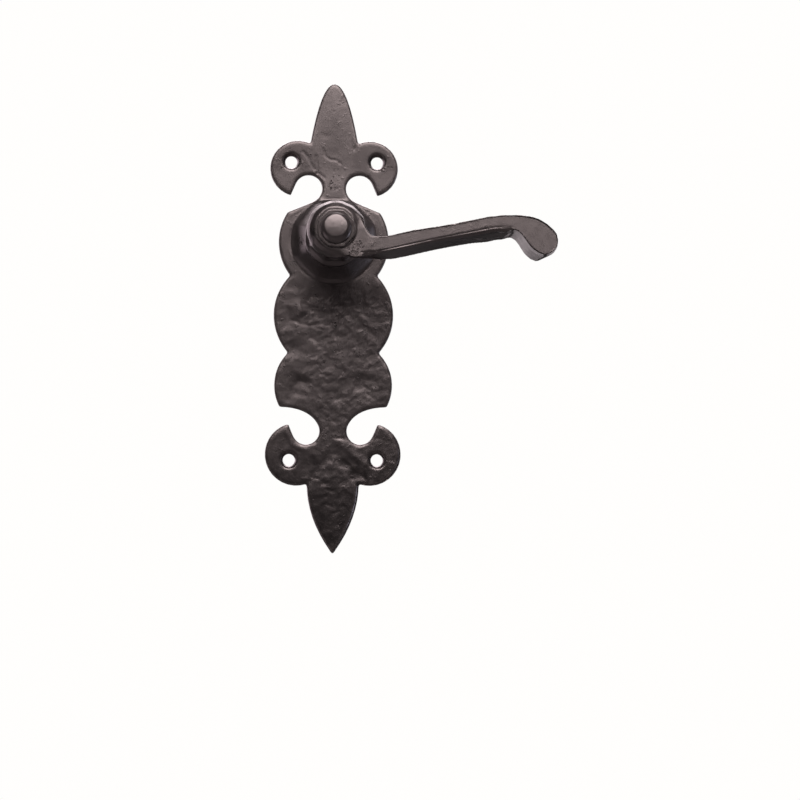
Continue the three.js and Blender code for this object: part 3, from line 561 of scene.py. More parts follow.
@dataclass(frozen=True)
class BlackIron:
    """Satin black lacquer on cast iron, with the casting's grain showing through it."""

    name: str
    base: Colour = (0.0150, 0.0122, 0.0120)
    dusty: Colour = (0.0240, 0.0197, 0.0195)
    rubbed: Colour = (0.050, 0.041, 0.040)
    glint: Colour = (1.0, 0.83, 0.83)
    gloss: float = 1.0
    roughness: float = 0.39
    roughness_spread: float = 0.24
    cloud_width: float = 14.0
    mottle_width: float = 3.2
    grain_width: float = 1.2
    grain_depth: float = 0.020
    speck_width: float = 2.4
    speck_depth: float = 0.05
    speck_limits: tuple = (0.60, 0.74)
    worn_limits: tuple = (0.30, 0.62)
    dust_shares: tuple = (0.55, 0.45)
    dust_limits: tuple = (0.36, 0.66)
    pit_width: float = 1.25
    pit_depth: float = 0.12
    pit_warp: float = 0.7
    pit_warp_scale: float = 900.0
    pit_size: float = 0.48
    pit_crowding: float = 0.20
    pit_limits: tuple = (0.56, 0.80)
    pit_edge: tuple = (-0.06, 0.10)
    # The dark colour of the casting's pits, which painted shade also darkens toward.
    pit_and_painted_shade: Colour = (0.006, 0.005, 0.005)

    def pits(self, graph: Graph, spot: Socket) -> Socket:
        """Returns 1 in the casting's small pits, which crowd where the attribute "pitted" says."""
        warp = graph.add("ShaderNodeTexNoise", {
            "Vector": spot, "Scale": self.pit_warp_scale, "Detail": 1.0}).outputs[1]
        bent = graph.vector("ADD", spot, graph.vector("SCALE", warp, self.pit_warp * self.pit_width * MM))
        from_middle = graph.add("ShaderNodeTexVoronoi", {
            "Vector": bent, "Scale": 1 / (self.pit_width * MM)}).outputs["Distance"]
        chance = graph.math("MULTIPLY_ADD", graph.noted("pitted"), self.pit_crowding,
                            graph.noise(spot, 6, detail=1, seed=9))
        size = graph.math("MULTIPLY", graph.ramp(chance, *self.pit_limits), self.pit_size)
        return graph.ramp(graph.math("SUBTRACT", size, from_middle), *self.pit_edge)

    def material(self) -> Material:
        """Builds the lacquer's material."""
        made, graph = new_material(self.name)
        spot = graph.add("ShaderNodeTexCoord").outputs["Object"]
        cloud = graph.noise(spot, self.cloud_width, detail=3, seed=1)
        mottle = graph.noise(spot, self.mottle_width, detail=3, seed=2)
        grain = graph.noise(spot, self.grain_width, detail=2, seed=3)
        specks = graph.ramp(graph.noise(spot, self.speck_width, detail=2, seed=4), *self.speck_limits)
        pitted, painted_shade = self.pits(graph, spot), graph.noted("painted_shade")
        worn = graph.math("MULTIPLY", graph.noted("rub"), graph.ramp(mottle, *self.worn_limits))

        by_mottle, by_cloud = self.dust_shares
        dust = graph.math("MULTIPLY_ADD", mottle, by_mottle, graph.math("MULTIPLY", cloud, by_cloud))
        dust = graph.math("SUBTRACT", graph.ramp(dust, *self.dust_limits), painted_shade)
        colour = graph.mix(dust, self.base, self.dusty)
        # Painted shade, which each casting notes, darkens the colour toward that of the pits.
        for share, over in ((graph.math("MULTIPLY", painted_shade, 0.9), self.pit_and_painted_shade), (worn, self.rubbed),
                            (pitted, self.pit_and_painted_shade)):
            colour = graph.mix(share, colour, over)

        rough = graph.math("MULTIPLY_ADD", graph.math("SUBTRACT", mottle, 0.5), self.roughness_spread,
                           self.roughness)
        for share, change in ((painted_shade, -0.06), (worn, -0.07), (pitted, 0.35)):
            rough = graph.math("MULTIPLY_ADD", share, change, rough)

        relief = graph.math("MULTIPLY_ADD", specks, self.speck_depth * MM,
                            graph.math("MULTIPLY", grain, self.grain_depth * MM))
        relief = graph.math("MULTIPLY", relief, graph.math("SUBTRACT", 1.0, graph.noted("smooth")))
        relief = graph.math("MULTIPLY_ADD", pitted, -self.pit_depth * MM, relief)
        graph.surface(relief, {"Base Color": colour, "Roughness": rough, "Specular IOR Level": self.gloss,
                               "Specular Tint": (*self.glint, 1)})
        return made


class Cut(Enum):
    """How a bare metal piece was made, which shows in its fine marks."""

    TURNED = "turned"
    PRESSED = "pressed"
    DRAWN = "drawn"


@dataclass(frozen=True)
class BareMetal:
    """A machined metal with its tool marks and its stain."""

    name: str
    bright: Colour
    stain: Colour
    roughness: float
    cut: Cut
    stain_width: float = 2.5
    stain_roughness: float = 0.16
    mark_depth: float = 0.004

    def marks(self, graph: Graph, spot: Socket) -> Socket:
        """Returns the height of the tool marks, from 0 to 1."""
        if self.cut is Cut.TURNED:
            x, y, z = graph.parted(spot)
            squares = [graph.math("MULTIPLY", part, part) for part in (x, z)]
            rings = graph.joined(graph.math("SQRT", graph.math("ADD", *squares)), y)
            return graph.noise(rings, 0.25, detail=2, seed=5)
        if self.cut is Cut.DRAWN:
            return graph.noise(spot, 0.35, detail=1, seed=6)
        stretched = graph.first("ShaderNodeMapping", {"Vector": spot, "Scale": (1, 1, 0.15)})
        return graph.noise(stretched, 0.4, detail=2, seed=7)

    def material(self) -> Material:
        """Builds the metal's material."""
        made, graph = new_material(self.name)
        spot = graph.add("ShaderNodeTexCoord").outputs["Object"]
        stain = graph.ramp(graph.noise(spot, self.stain_width, detail=4, seed=8), 0.42, 0.66)
        relief = graph.math("MULTIPLY", self.marks(graph, spot), self.mark_depth * MM)
        graph.surface(relief, {
            "Base Color": graph.mix(stain, self.bright, self.stain), "Metallic": 1.0,
            "Roughness": graph.math("MULTIPLY_ADD", stain, self.stain_roughness, self.roughness)})
        return made


PLATE_IRON = BlackIron("black_iron_plate")
LEVER_IRON = BlackIron("black_iron_lever", roughness=0.34, grain_depth=0.016, speck_depth=0.035)
BLACK_STEEL = BlackIron("black_steel", roughness=0.30, roughness_spread=0.144, grain_width=1.6,
                        grain_depth=0.010, speck_depth=0.02)
BRONZE = BareMetal("bronze", (0.62, 0.40, 0.20), (0.34, 0.19, 0.09), 0.30, Cut.TURNED)
ZINC = BareMetal("zinc_steel", (0.62, 0.63, 0.64), (0.42, 0.43, 0.42), 0.34, Cut.PRESSED)
SPRING_STEEL = BareMetal("spring_steel", (0.30, 0.30, 0.32), (0.16, 0.14, 0.13), 0.30, Cut.DRAWN)


# Trees that make or work a piece


def tree_with(name: str, sizes: tuple[str, ...],
              counts: tuple[str, ...] = ()) -> tuple[Tree, Graph, bpy.types.NodeOutputs]:
    """Starts a geometry tree that works what it is given and dresses it in a material.

    Args:
        name: The tree's name.
        sizes: The names of its inputs that are sizes or other numbers.
        counts: The names of its inputs that are whole numbers.

    Returns:
        The tree, its graph, and its inputs by name, with "Geometry" and "Material" among them.
    """
    tree = bpy.data.node_groups.new(name, "GeometryNodeTree")
    kinds = {"Geometry": "NodeSocketGeometry", **dict.fromkeys(counts, "NodeSocketInt"),
             **dict.fromkeys(sizes, "NodeSocketFloat"), "Material": "NodeSocketMaterial"}
    for label, kind in kinds.items():
        tree.interface.new_socket(label, in_out="INPUT", socket_type=kind)
    tree.interface.new_socket("Geometry", in_out="OUTPUT", socket_type="NodeSocketGeometry")
    graph = Graph(tree)
    return tree, graph, graph.add("NodeGroupInput").outputs


def close_tree(graph: Graph, geometry: Socket, material: Socket) -> None:
    """Ends a geometry tree: real meshes, their material, and the output."""
    real = graph.first("GeometryNodeRealizeInstances", {0: geometry})
    dressed = graph.first("GeometryNodeSetMaterial", {"Geometry": real, "Material": material})
    graph.add("NodeGroupOutput", {0: dressed})


def worked(piece: Piece, tree: Tree, values: dict) -> Piece:
    """Runs a geometry tree on a piece and keeps its result as a plain mesh.

    Args:
        piece: What the tree starts from.
        tree: The tree.
        values: What goes into its named inputs.

    Returns:
        The piece with its new mesh.
    """
    sockets = {item.name: item.identifier for item in tree.interface.items_tree
               if item.in_out == "INPUT"}
    step = piece.modifiers.new(tree.name, "NODES")
    step.node_group = tree
    for label, value in values.items():
        step[sockets[label]] = value
    return settled(piece)


def hammering() -> Tree:
    """Builds the tree that hammers a casting's skin: broad dished blows, flakes and a fine grain.

    It reads how hard each place was struck from the attribute "struck", how flaky it is from
    "flaky", and how grainy from "grained".
    """
    tree, graph, given = tree_with("hammering", (*Blows.SIZES, "Seed"))
    here = graph.first("GeometryNodeInputPosition")
    wander = graph.add("ShaderNodeTexNoise", {
        "Vector": here, "Scale": BEND_SCALE, "Detail": 1.0}).outputs[1]
    shift = graph.vector("SCALE", graph.vector("SUBTRACT", wander, (0.5, 0.5, 0.5)), BEND_REACH)
    bent = graph.vector("ADD", here, shift)

    def per_metre(kind: str) -> Socket:
        """Returns one over the width of a kind of mark."""
        return graph.math("DIVIDE", 1.0, given[f"{kind} Width"])

    def lumps(kind: str, where: Socket, seed_step: float, **look: float) -> Socket:
        """Returns soft lumps as wide as a kind of mark."""
        seed = graph.math("ADD", given["Seed"], seed_step)
        return graph.first("ShaderNodeTexNoise", {
            "Vector": where, "W": seed, "Scale": per_metre(kind), **look}, noise_dimensions="4D")

    def cut(kind: str, height: Socket, middle: float) -> Socket:
        """Returns how far a kind of mark lifts the skin, in metres, from its height and the mean height."""
        return graph.math("MULTIPLY", graph.math("SUBTRACT", height, middle), given[f"{kind} Depth"])

    def noted(name: str) -> Socket:
        """Returns the number that the tree finds noted at each vertex."""
        return graph.first("GeometryNodeInputNamedAttribute", {"Name": name}, data_type="FLOAT")

    blow = graph.first("ShaderNodeTexVoronoi", {
        "Vector": bent, "W": given["Seed"], "Scale": per_metre("Blow"), "Smoothness": 0.35,
        "Randomness": 1.0}, voronoi_dimensions="4D", feature="SMOOTH_F1")
    dished = cut("Blow", graph.math("POWER", blow, 2.0), 0.2)
    swollen = cut("Swell", lumps("Swell", bent, 0.0, Detail=4.0, Roughness=0.42), 0.5)
    flake = lumps("Flake", bent, 7.0, Detail=3.0, Distortion=0.4)
    terraces = graph.math("ADD", graph.ramp(flake, 0.44, 0.52), graph.ramp(flake, 0.56, 0.62))
    flaked = cut("Flake", terraces, 1.0)
    grained = cut("Grain", lumps("Grain", here, 19.0, Detail=2.0, Roughness=0.6), 0.5)

    lift = graph.math("ADD", graph.math("MULTIPLY", noted("struck"), graph.math("ADD", dished, swollen)),
                      graph.math("MULTIPLY", noted("flaky"), flaked))
    lift = graph.math("MULTIPLY_ADD", noted("grained"), grained, lift)
    offset = graph.vector("SCALE", graph.first("GeometryNodeInputNormal"), lift)
    moved = graph.first("GeometryNodeSetPosition", {"Geometry": given["Geometry"], "Offset": offset})
    close_tree(graph, moved, given["Material"])
    return tree


def turned_ring() -> Tree:
    """Builds the tree that turns a flat ring: an eased section carried round the spindle axis.

    With a wave, the ring rises and falls that far along the axis, three times round.
    """
    tree, graph, given = tree_with("turned_ring", (
        "Inner Radius", "Outer Radius", "Back", "Front", "Eased Edge", "Wave"))
    inner, outer, back, front = (given[label] for label in ("Inner Radius", "Outer Radius", "Back", "Front"))
    middle = graph.math("MULTIPLY", graph.math("ADD", inner, outer), 0.5)
    path = graph.first("GeometryNodeCurvePrimitiveCircle", {"Resolution": 144, "Radius": middle})
    section = graph.first("GeometryNodeCurvePrimitiveQuadrilateral", {
        "Width": graph.math("SUBTRACT", outer, inner), "Height": graph.math("SUBTRACT", front, back)})
    eased = graph.first("GeometryNodeFilletCurve", {
        "Curve": section, "Radius": given["Eased Edge"], "Count": 3}, mode="POLY")
    ring = graph.first("GeometryNodeCurveToMesh", {"Curve": path, "Profile Curve": eased})
    out = graph.math("MULTIPLY", graph.math("ADD", back, front), -0.5)
    stood = graph.first("GeometryNodeTransform", {
        "Geometry": ring, "Rotation": (math.pi / 2, 0, 0), "Translation": graph.joined(y=out)})
    x, _, z = graph.parted(graph.first("GeometryNodeInputPosition"))
    turn = graph.math("MULTIPLY", graph.math("ARCTAN2", z, x), 3.0)
    rise = graph.math("MULTIPLY", graph.math("SINE", turn), given["Wave"])
    waved = graph.first("GeometryNodeSetPosition", {"Geometry": stood, "Offset": graph.joined(y=rise)})
    close_tree(graph, waved, given["Material"])
    return tree


def drawn_wire() -> Tree:
    """Builds the tree that carries a round wire along the line that it is given, with closed ends."""
    tree, graph, given = tree_with("drawn_wire", ("Wire Radius",))
    line = graph.first("GeometryNodeMeshToCurve", {"Mesh": given["Geometry"]})
    section = graph.first("GeometryNodeCurvePrimitiveCircle", {
        "Resolution": 14, "Radius": given["Wire Radius"]})
    wire = graph.first("GeometryNodeCurveToMesh", {
        "Curve": line, "Profile Curve": section, "Fill Caps": True})
    close_tree(graph, wire, given["Material"])
    return tree


def set_in_a_circle() -> Tree:
    """Builds the tree that sets copies of a piece at even steps about the spindle axis.

    Each copy is turned a step further than the one before, by no even part of a turn.
    """
    tree, graph, given = tree_with("set_in_a_circle", ("Orbit", "First Angle", "First Turn", "Turn Step"),
                                   ("Count",))
    points = graph.first("GeometryNodePoints", {"Count": given["Count"]})
    number = graph.first("GeometryNodeInputIndex")
    step = graph.math("DIVIDE", 2 * math.pi, given["Count"])
    angle = graph.math("MULTIPLY_ADD", number, step, given["First Angle"])
    across, up = (graph.math("MULTIPLY", graph.math(side, angle), given["Orbit"])
                  for side in ("COSINE", "SINE"))
    placed = graph.first("GeometryNodeSetPosition", {
        "Geometry": points, "Position": graph.joined(across, z=up)})
    turn = graph.math("MULTIPLY", graph.math("ADD", number, given["First Turn"]), given["Turn Step"])
    copies = graph.first("GeometryNodeInstanceOnPoints", {
        "Points": placed, "Instance": given["Geometry"],
        "Rotation": graph.first("FunctionNodeEulerToRotation", {0: graph.joined(y=turn)})})
    close_tree(graph, copies, given["Material"])
    return tree


# Castings


@dataclass(frozen=True)
class Voxels:
    """How a CAD casting is given an even, softened skin: the mesh's pitch and its smoothing."""

    pitch: float
    smoothing: int

    def skin_of(self, node: str) -> Piece:
        """Returns a piece with an even skin over a node's shape."""
        piece = blank(f"cast_{node}", merged_copy(node))
        even = piece.modifiers.new("even", "REMESH")
        even.mode = "VOXEL"
        even.voxel_size = self.pitch * MM
        settled(piece)
        place(piece.data, evened(piece.data, positions(piece.data), self.smoothing))
        return piece


@dataclass(frozen=True)
class Blows:
    """How a casting's skin was hammered, for the hammering tree."""

    SIZES: ClassVar[tuple[str, ...]] = ("Blow Width", "Blow Depth", "Swell Width", "Swell Depth",
                                        "Flake Width", "Flake Depth", "Grain Width", "Grain Depth")
    blow_width: float = 5.4
    blow_depth: float = 0.10
    swell_width: float = 9.5
    swell_depth: float = 0.70
    flake_width: float = 3.4
    flake_depth: float = 0.07
    grain_width: float = 1.6
    grain_depth: float = 0.09
    seed: float = 3.0

    def strike(self, piece: Piece, tree: Tree, finish: Material) -> None:
        """Hammers a piece.

        Args:
            piece: The piece, with an even skin and the attributes "struck", "flaky" and "grained".
            tree: The hammering tree.
            finish: The material that it ends in.
        """
        sizes = {size: getattr(self, size.lower().replace(" ", "_")) * MM for size in self.SIZES}
        worked(piece, tree, {**sizes, "Seed": self.seed, "Material": finish})


@dataclass
class Casting(ABC):
    """A cast piece that stands for one CAD node."""

    node: str
    body: Body
    slot: Slot
    voxels: Voxels
    blows: Blows

    @abstractmethod
    def shaped(self, mesh: Mesh) -> Points:
        """Returns the skin's points after the piece's own forms are worked in."""

    @abstractmethod
    def struck(self, points: Points, facing: Points) -> Points:
        """Returns how hard each point was struck, mostly from 0 to 1."""

    @abstractmethod
    def flaky(self, points: Points, facing: Points) -> Points:
        """Returns how flaky each point is, mostly from 0 to 1."""

    @abstractmethod
    def grained(self, points: Points, facing: Points) -> Points:
        """Returns how grainy each point is, mostly from 0 to 1."""

    def pitted(self, points: Points) -> Points:
        """Returns how closely each point is set with small pits."""
        return np.zeros(len(points))

    def painted_shade(self, points: Points) -> Points:
        """Returns how much painted shade darkens the lacquer at each point, from 0 to 1."""
        return np.zeros(len(points))

    def smooth(self, points: Points) -> Points:
        """Returns how far the lacquer hides the casting's grain at each point, from 0 to 1."""
        return np.zeros(len(points))

    def build(self, tree: Tree, finish: Material) -> None:
        """Builds the piece in its finish and sets it on its body.

        What a method says of each vertex is noted as an attribute of the method's own name.
        """
        piece = self.voxels.skin_of(self.node)
        place(piece.data, self.shaped(piece.data))
        points, facing = positions(piece.data), normals(piece.data)
        for noted in (self.struck, self.flaky, self.grained):
            note(piece.data, noted.__name__, noted(points, facing))
        self.blows.strike(piece, tree, finish)
        kept_in_box(piece.data, self.node)
        rubbed(piece.data)
        for noted in (self.pitted, self.painted_shade, self.smooth):
            note(piece.data, noted.__name__, noted(positions(piece.data)))
        shade(piece.data)
        finish_piece(piece, self.body, self.slot, self.node)


@dataclass
class Backplate(Casting):
    """The long plate: a fleur-de-lys at each end, three rounds, and the rose in the top one.

    Fields that end in "by height" or "by side" are steps for stepped(): a first value, and then each
    change with the two places that it lies between. The heights among them are counted downward.
    """

    node: str = "backplate"
    body: Body = Body.PLATE
    slot: Slot = Slot.PLATE_IRON
    voxels: Voxels = Voxels(pitch=0.5, smoothing=3)
    blows: Blows = Blows()
    thickness: float = 3.2
    front_level: tuple = (2.0, 2.8)
    front_facing: tuple = (0.45, 0.85)
    holes: tuple = ((19.2, 35.3), (19.6, -98.1))
    countersink: float = 3.9

    rose_foot: float = 18.3
    rose_bore: float = 12.6
    rose_wear: int = 26
    rose_top: tuple = (10.0, 15.0)
    rose_level: tuple = (3.4, 4.6)
    rear_recess: float = 17.6
    foot_groove: float = 0.3
    foot_below: tuple = (8.0, 14.0)

    pillow_width: float = 1.9
    pillow_depth: float = 0.10
    spear_rise: float = 0.30
    spear_inset: tuple = (1.0, 8.0)
    spear: tuple = (34.0, 60.0)
    lobe_lean: float = 0.026
    lobe_middle: float = 26.0
    lobe_beside: tuple = (7.0, 12.0)
    lobe_above: tuple = (18.0, 22.0)
    neck_rise: float = 0.38
    neck_below: tuple = (33.0, 19.0)
    neck_above: tuple = (12.0, 18.0)
    eased_right: float = 0.8
    eased_width: float = 1.7
    eased_leaf: tuple = ((106.0, 111.0), (0.0, 4.0))
    eased_lobe: tuple = ((84.0, 92.0), (20.0, 25.0))

    leaf_top: float = -97.8
    leaf_shoulder: float = -109.0
    leaf_half_width: float = 10.6
    leaf_taper: float = 0.72
    leaf_outline: float = 1.2
    leaf_rise: tuple = ((0.15, -0.6, 1.8), (0.36, 0.0, 7.5))

    blows_by_height: tuple = (0.10, (0.90, 12, 24), (-0.55, 76, 84), (-0.25, 96, 104))
    blows_on_sides: float = 0.12
    blows_off_rose: float = 0.75
    flakes_by_height: tuple = (0.0, (1.0, 18, 30), (-0.35, 76, 90))
    flakes_by_side: tuple = (0.35, (0.65, -14, -4))
    flakes_anywhere: float = 0.06
    flakes_off_rose: tuple = (18.0, 20.0)
    grain_by_height: tuple = (0.30, (0.55, 14, 26), (-0.2, 76, 90))
    # Painted shade: the lower fleur-de-lys darker towards the bottom and in its middle.
    painted_shade_by_height: tuple = (0.0, (0.15, 50, 58), (0.15, 80, 92), (0.58, 91, 106))
    painted_shade_in_middle: float = 0.20
    painted_shade_middle: tuple = ((95.0, 99.0), (13.0, 9.0))
    pit_crowds: tuple = (((1.0, 22.0), 5.0), ((-9.0, 28.0), 4.0), ((0.0, -84.0), 4.0))
    few_pits: tuple = (0.5, 40.0, 48.0)

    wander: Wander = Wander(reach=0.8, width=5.0, seed=31)
    mark_depth: float = 0.45
    marks: tuple = tuple(Mark(*row) for row in (
        # the upper fleur-de-lys
        (0.4, 39.2, 9.5, 6.0, -0.10, -12), (1.2, 23.3, 4.2, 2.4, -0.16), (-0.3, 31.4, 1.2, 3.0, -0.14),
        (-7.3, 30.2, 1.8, 1.6, -0.30), (2.6, 35.0, 2.0, 1.4, -0.16), (0.5, 58.2, 2.4, 1.6, -0.12),
        (-4.0, 47.0, 7.0, 5.0, -0.14), (3.5, 62.0, 5.0, 4.0, -0.10),
        # the middle round
        (-14.8, -32.0, 11.0, 11.0, 0.95, 25, -0.45), (2.0, -43.0, 10.0, 6.5, -0.32),
        (-1.0, -28.5, 7.0, 5.0, 0.25), (12.5, -40.0, 8.0, 5.0, -0.22), (18.0, -27.0, 5.0, 6.0, -0.25),
        (-21.5, -41.0, 9.0, 6.0, 0.25), (-18.6, -48.0, 12.0, 10.0, -0.9, -20, 0.25),
        (6.0, -26.5, 5.0, 3.0, -0.25), (-7.5, -25.0, 2.6, 1.8, -0.30),
        # the lower round
        (-14.8, -63.2, 15.0, 17.0, -1.5, -24, 0.5), (13.8, -62.8, 16.0, 14.5, -1.2, -8, 0.4),
        (1.5, -60.0, 8.0, 7.0, 0.25), (-18.0, -73.5, 16.0, 7.0, -0.26), (18.0, -73.0, 12.0, 5.0, -0.14),
        (3.0, -70.5, 7.0, 4.0, -0.3), (-8.0, -54.0, 6.0, 4.0, 0.25), (18.5, -66.5, 8.0, 4.0, 0.25),
        # the lower fleur-de-lys
        (-11.0, -100.5, 13.0, 12.0, -0.55), (6.5, -99.6, 9.0, 5.0, -0.55, -38, 0.45),
        (12.4, -104.6, 13.0, 8.0, -1.55, -42, 0.45), (-2.4, -83.0, 1.7, 1.5, -0.30),
        (0.0, -95.3, 9.0, 4.4, -0.30), (-8.5, -99.0, 6.0, 8.0, -0.25, 30),
        (-19.0, -89.5, 8.0, 7.0, -0.22), (20.0, -88.5, 6.0, 5.0, -0.20),
    ))
    creases: tuple = tuple(Crease(width, lift, tuple(line)) for width, lift, *line in (
        # the upper fleur-de-lys
        (0.9, -0.30, (-14.4, 39.6), (-12.0, 37.8), (-10.4, 34.4), (-8.7, 32.0)),
        (0.9, -0.34, (-8.5, 38.0), (-7.9, 35.0), (-7.7, 30.6)), (1.1, -0.25, (-7.7, 30.6), (-4.4, 27.6)),
        (1.4, -0.35, (11.4, 44.6), (9.2, 41.0)),
        (0.9, -0.30, (-3.9, 40.6), (-4.2, 38.6), (-2.4, 36.7), (0.6, 36.3)),
        (0.9, -0.26, (1.2, 36.0), (3.2, 34.2)),
        # the rounds
        (1.2, -0.2, (-20.6, -30.5), (-19.2, -34.5), (-15.5, -37.2), (-10.0, -37.8), (-5.0, -36.2)),
        (1.1, -0.30, (-14.2, -28.0), (-11.2, -28.8), (-9.8, -31.6)),
        (4.4, -0.15, (-21.5, -51.0), (-16.0, -49.8), (-9.0, -50.4)),
        (3.6, -0.12, (21.5, -51.5), (16.0, -50.4), (10.0, -52.0)),
        (3.0, 0.06, (-19.0, -52.6), (-13.0, -53.4)),
        (2.4, 0.12, (-19.0, -64.2), (-14.0, -67.2), (-7.0, -67.3)),
        (2.0, 0.10, (8.6, -63.3), (14.0, -64.6), (22.5, -63.0)), (1.4, -0.24, (14.3, -67.5), (18.4, -71.0)),
        (1.8, -0.14, (-6.2, -37.8), (-0.5, -36.4), (4.4, -34.0)),
        (1.6, -0.14, (6.0, -33.6), (10.0, -32.0), (13.8, -33.2)),
        (2.2, -0.14, (-10.0, -44.0), (-6.0, -47.0), (-2.0, -46.0)),
        (3.0, -0.25, (-19.0, -20.0), (-14.0, -21.5)),
        # the lower fleur-de-lys
        (3.4, 0.58, (3.0, -90.5), (8.5, -95.0), (14.6, -100.0)),
        (2.4, -0.30, (-2.6, -97.2), (-6.4, -100.8), (-10.2, -107.2)),
        (0.9, -0.36, (1.2, -88.4), (4.3, -88.7)),
        (1.9, 0.26, (-21.0, -85.5), (-17.6, -91.0), (-12.0, -93.4)),
        (1.9, 0.22, (19.4, -85.0), (15.8, -91.0), (10.6, -93.0)),
        # chisel cuts in the lower leaf
        (1.0, -0.16, (-8.0, -105.8), (-5.4, -106.2)), (1.0, -0.16, (-5.2, -108.6), (-3.4, -109.0)),
        (1.1, -0.24, (-2.8, -111.4), (-0.4, -112.4)), (0.9, -0.16, (-5.4, -114.9), (-2.6, -114.4)),
        (1.0, -0.18, (-2.8, -117.4), (-0.2, -118.6)), (1.0, -0.20, (0.4, -121.6), (2.8, -120.8)),
        (0.9, -0.15, (3.2, -119.4), (4.8, -118.6)), (1.3, -0.15, (0.4, -126.6), (2.6, -127.6)),
        (0.9, 0.10, (-13.8, -106.0), (-11.0, -106.0)),
    ))

    def rim(self) -> Points:
        """Returns points along the plate's outline, at level 0."""
        found = []
        for start, end, beside in edges_of(self.node):
            middle = (start + end) / 2
            in_recess = math.hypot(middle[0], middle[2]) < self.rear_recess
            at_hole = any(math.hypot(abs(middle[0]) - x, middle[2] - z) < self.countersink + 0.4
                          for x, z in self.holes)
            upright = any(abs(normal.y) < 0.3 for normal in beside)
            on_side = all(0.1 < -point[1] < self.thickness - 0.1 for point in (start, end))
            level = abs(start[1] - end[1]) < 0.01
            if on_side and upright and level and not in_recess and not at_hole:
                found.extend(walked(start * (1, 0, 1), end * (1, 0, 1), 0.4))
        return np.array(found)

    def inset(self, points: Points) -> Points:
        """Returns how far each point lies inside the plate's outline."""
        return toward(points * (1, 0, 1), self.rim(), 12.0)[0]

    def front(self, points: Points, facing: Points) -> Points:
        """Returns how much each point lies in the plate's own front face, from 0 to 1."""
        return (smoothstep(-facing[:, 1], *self.front_facing) * smoothstep(-points[:, 1], *self.front_level)
                * smoothstep(from_axis(points), self.rose_foot - 0.4, self.rose_foot + 1.0))

    def outward(self, points: Points, facing: Points) -> Points:
        """Returns how much each point faces out from the door, from 0 to 1, on the plate or the rose."""
        return smoothstep(-facing[:, 1], 0.0, 0.5) * smoothstep(-points[:, 1], 1.6, 2.8)

    def in_countersink(self, points: Points) -> Points:
        """Returns 1 at the screw holes' countersinks and 0 elsewhere."""
        reach = np.min([np.hypot(np.abs(points[:, 0]) - x, points[:, 2] - z) for x, z in self.holes], axis=0)
        near = smoothstep(reach, self.countersink + 0.7, self.countersink + 0.1)
        return near * smoothstep(-points[:, 1], 0.2, 0.6)

    def leaf(self, points: Points, inset: Points) -> Points:
        """Returns how far the lower leaf stands above the plate at each point."""
        bent = self.wander.over(points)
        down = np.clip((self.leaf_top - bent[:, 2]) / (self.leaf_top - self.leaf_shoulder), 0, 1)
        half_width = self.leaf_half_width * down ** self.leaf_taper
        above = smoothstep(points[:, 2], self.leaf_shoulder - 3.0, self.leaf_shoulder + 1.0)
        inside = (above * 0.8 * (half_width - np.abs(bent[:, 0]))
                  + (1 - above) * (inset + self.leaf_outline))
        low_enough = smoothstep(-bent[:, 2], -self.leaf_top, 2.0 - self.leaf_top)
        return low_enough * stepped(inside, 0.0, *self.leaf_rise)

    def lower_right(self, points: Points) -> Points:
        """Returns 1 at the right side of the lower fleur-de-lys, whose edge is worn the most."""
        x, down = points[:, 0], -points[:, 2]
        leaf, lobe = (smoothstep(down, *below) * smoothstep(x, *beside)
                      for below, beside in (self.eased_leaf, self.eased_lobe))
        return np.maximum(leaf, lobe)

    def worn_rose(self, mesh: Mesh) -> Points:
        """Returns the points with the rose's eight edges worn round, less far out at its top."""
        points = positions(mesh)
        reach, at_top = from_axis(points), smoothstep(points[:, 2], *self.rose_top)
        on_rose = (smoothstep(reach, self.rose_bore, self.rose_bore + 1.5)
                   * fading(reach, self.rose_foot + 1.5 - 2.0 * at_top, self.rose_foot + 4.0 - 3.4 * at_top)
                   * smoothstep(-points[:, 1], 2.0, 3.0))
        return points + on_rose[:, None] * (evened(mesh, points, self.rose_wear) - points)

    def formed(self, points: Points, inset: Points) -> Points:
        """Returns how far the plate's forms lift its front: its soft rim, leaf, spear, lobes and neck."""
        z = points[:, 2]
        lift = self.pillow_depth * (smoothstep(inset, 0.0, self.pillow_width) - 1)
        lift += self.leaf(points, inset)
        lift += self.spear_rise * smoothstep(inset, *self.spear_inset) * smoothstep(z, *self.spear)
        lift -= self.eased_right * fading(inset, 0.0, self.eased_width) * self.lower_right(points)
        on_lobes = smoothstep(np.abs(points[:, 0]), *self.lobe_beside) * smoothstep(z, *self.lobe_above)
        lift += self.lobe_lean * np.clip(z - self.lobe_middle, -6, 20) * on_lobes
        lift += self.neck_rise * smoothstep(z, *self.neck_below) * smoothstep(z, *self.neck_above)
        return lift

    def shaped(self, mesh: Mesh) -> Points:
        """Works in the forms, the marks and creases of the casting, and a groove at the rose's foot."""
        facing = normals(mesh)
        points = self.worn_rose(mesh)
        inset, bent = self.inset(points), self.wander.over(points)
        worked_in = sum(mark.at(bent) for mark in self.marks)
        worked_in += sum(crease.at(bent) for crease in self.creases)
        past_foot = from_axis(points) - self.rose_foot - 0.9
        foot = np.exp(-(past_foot / 0.8) ** 2) * fading(-points[:, 1], 3.6, 4.6)
        foot *= fading(points[:, 2], *self.foot_below)
        lift = self.formed(points, inset)
        lift += self.mark_depth * worked_in * smoothstep(inset, -0.5, 1.8) - self.foot_groove * foot
        moved = points.copy()
        moved[:, 1] -= lift * self.front(points, facing)
        return moved

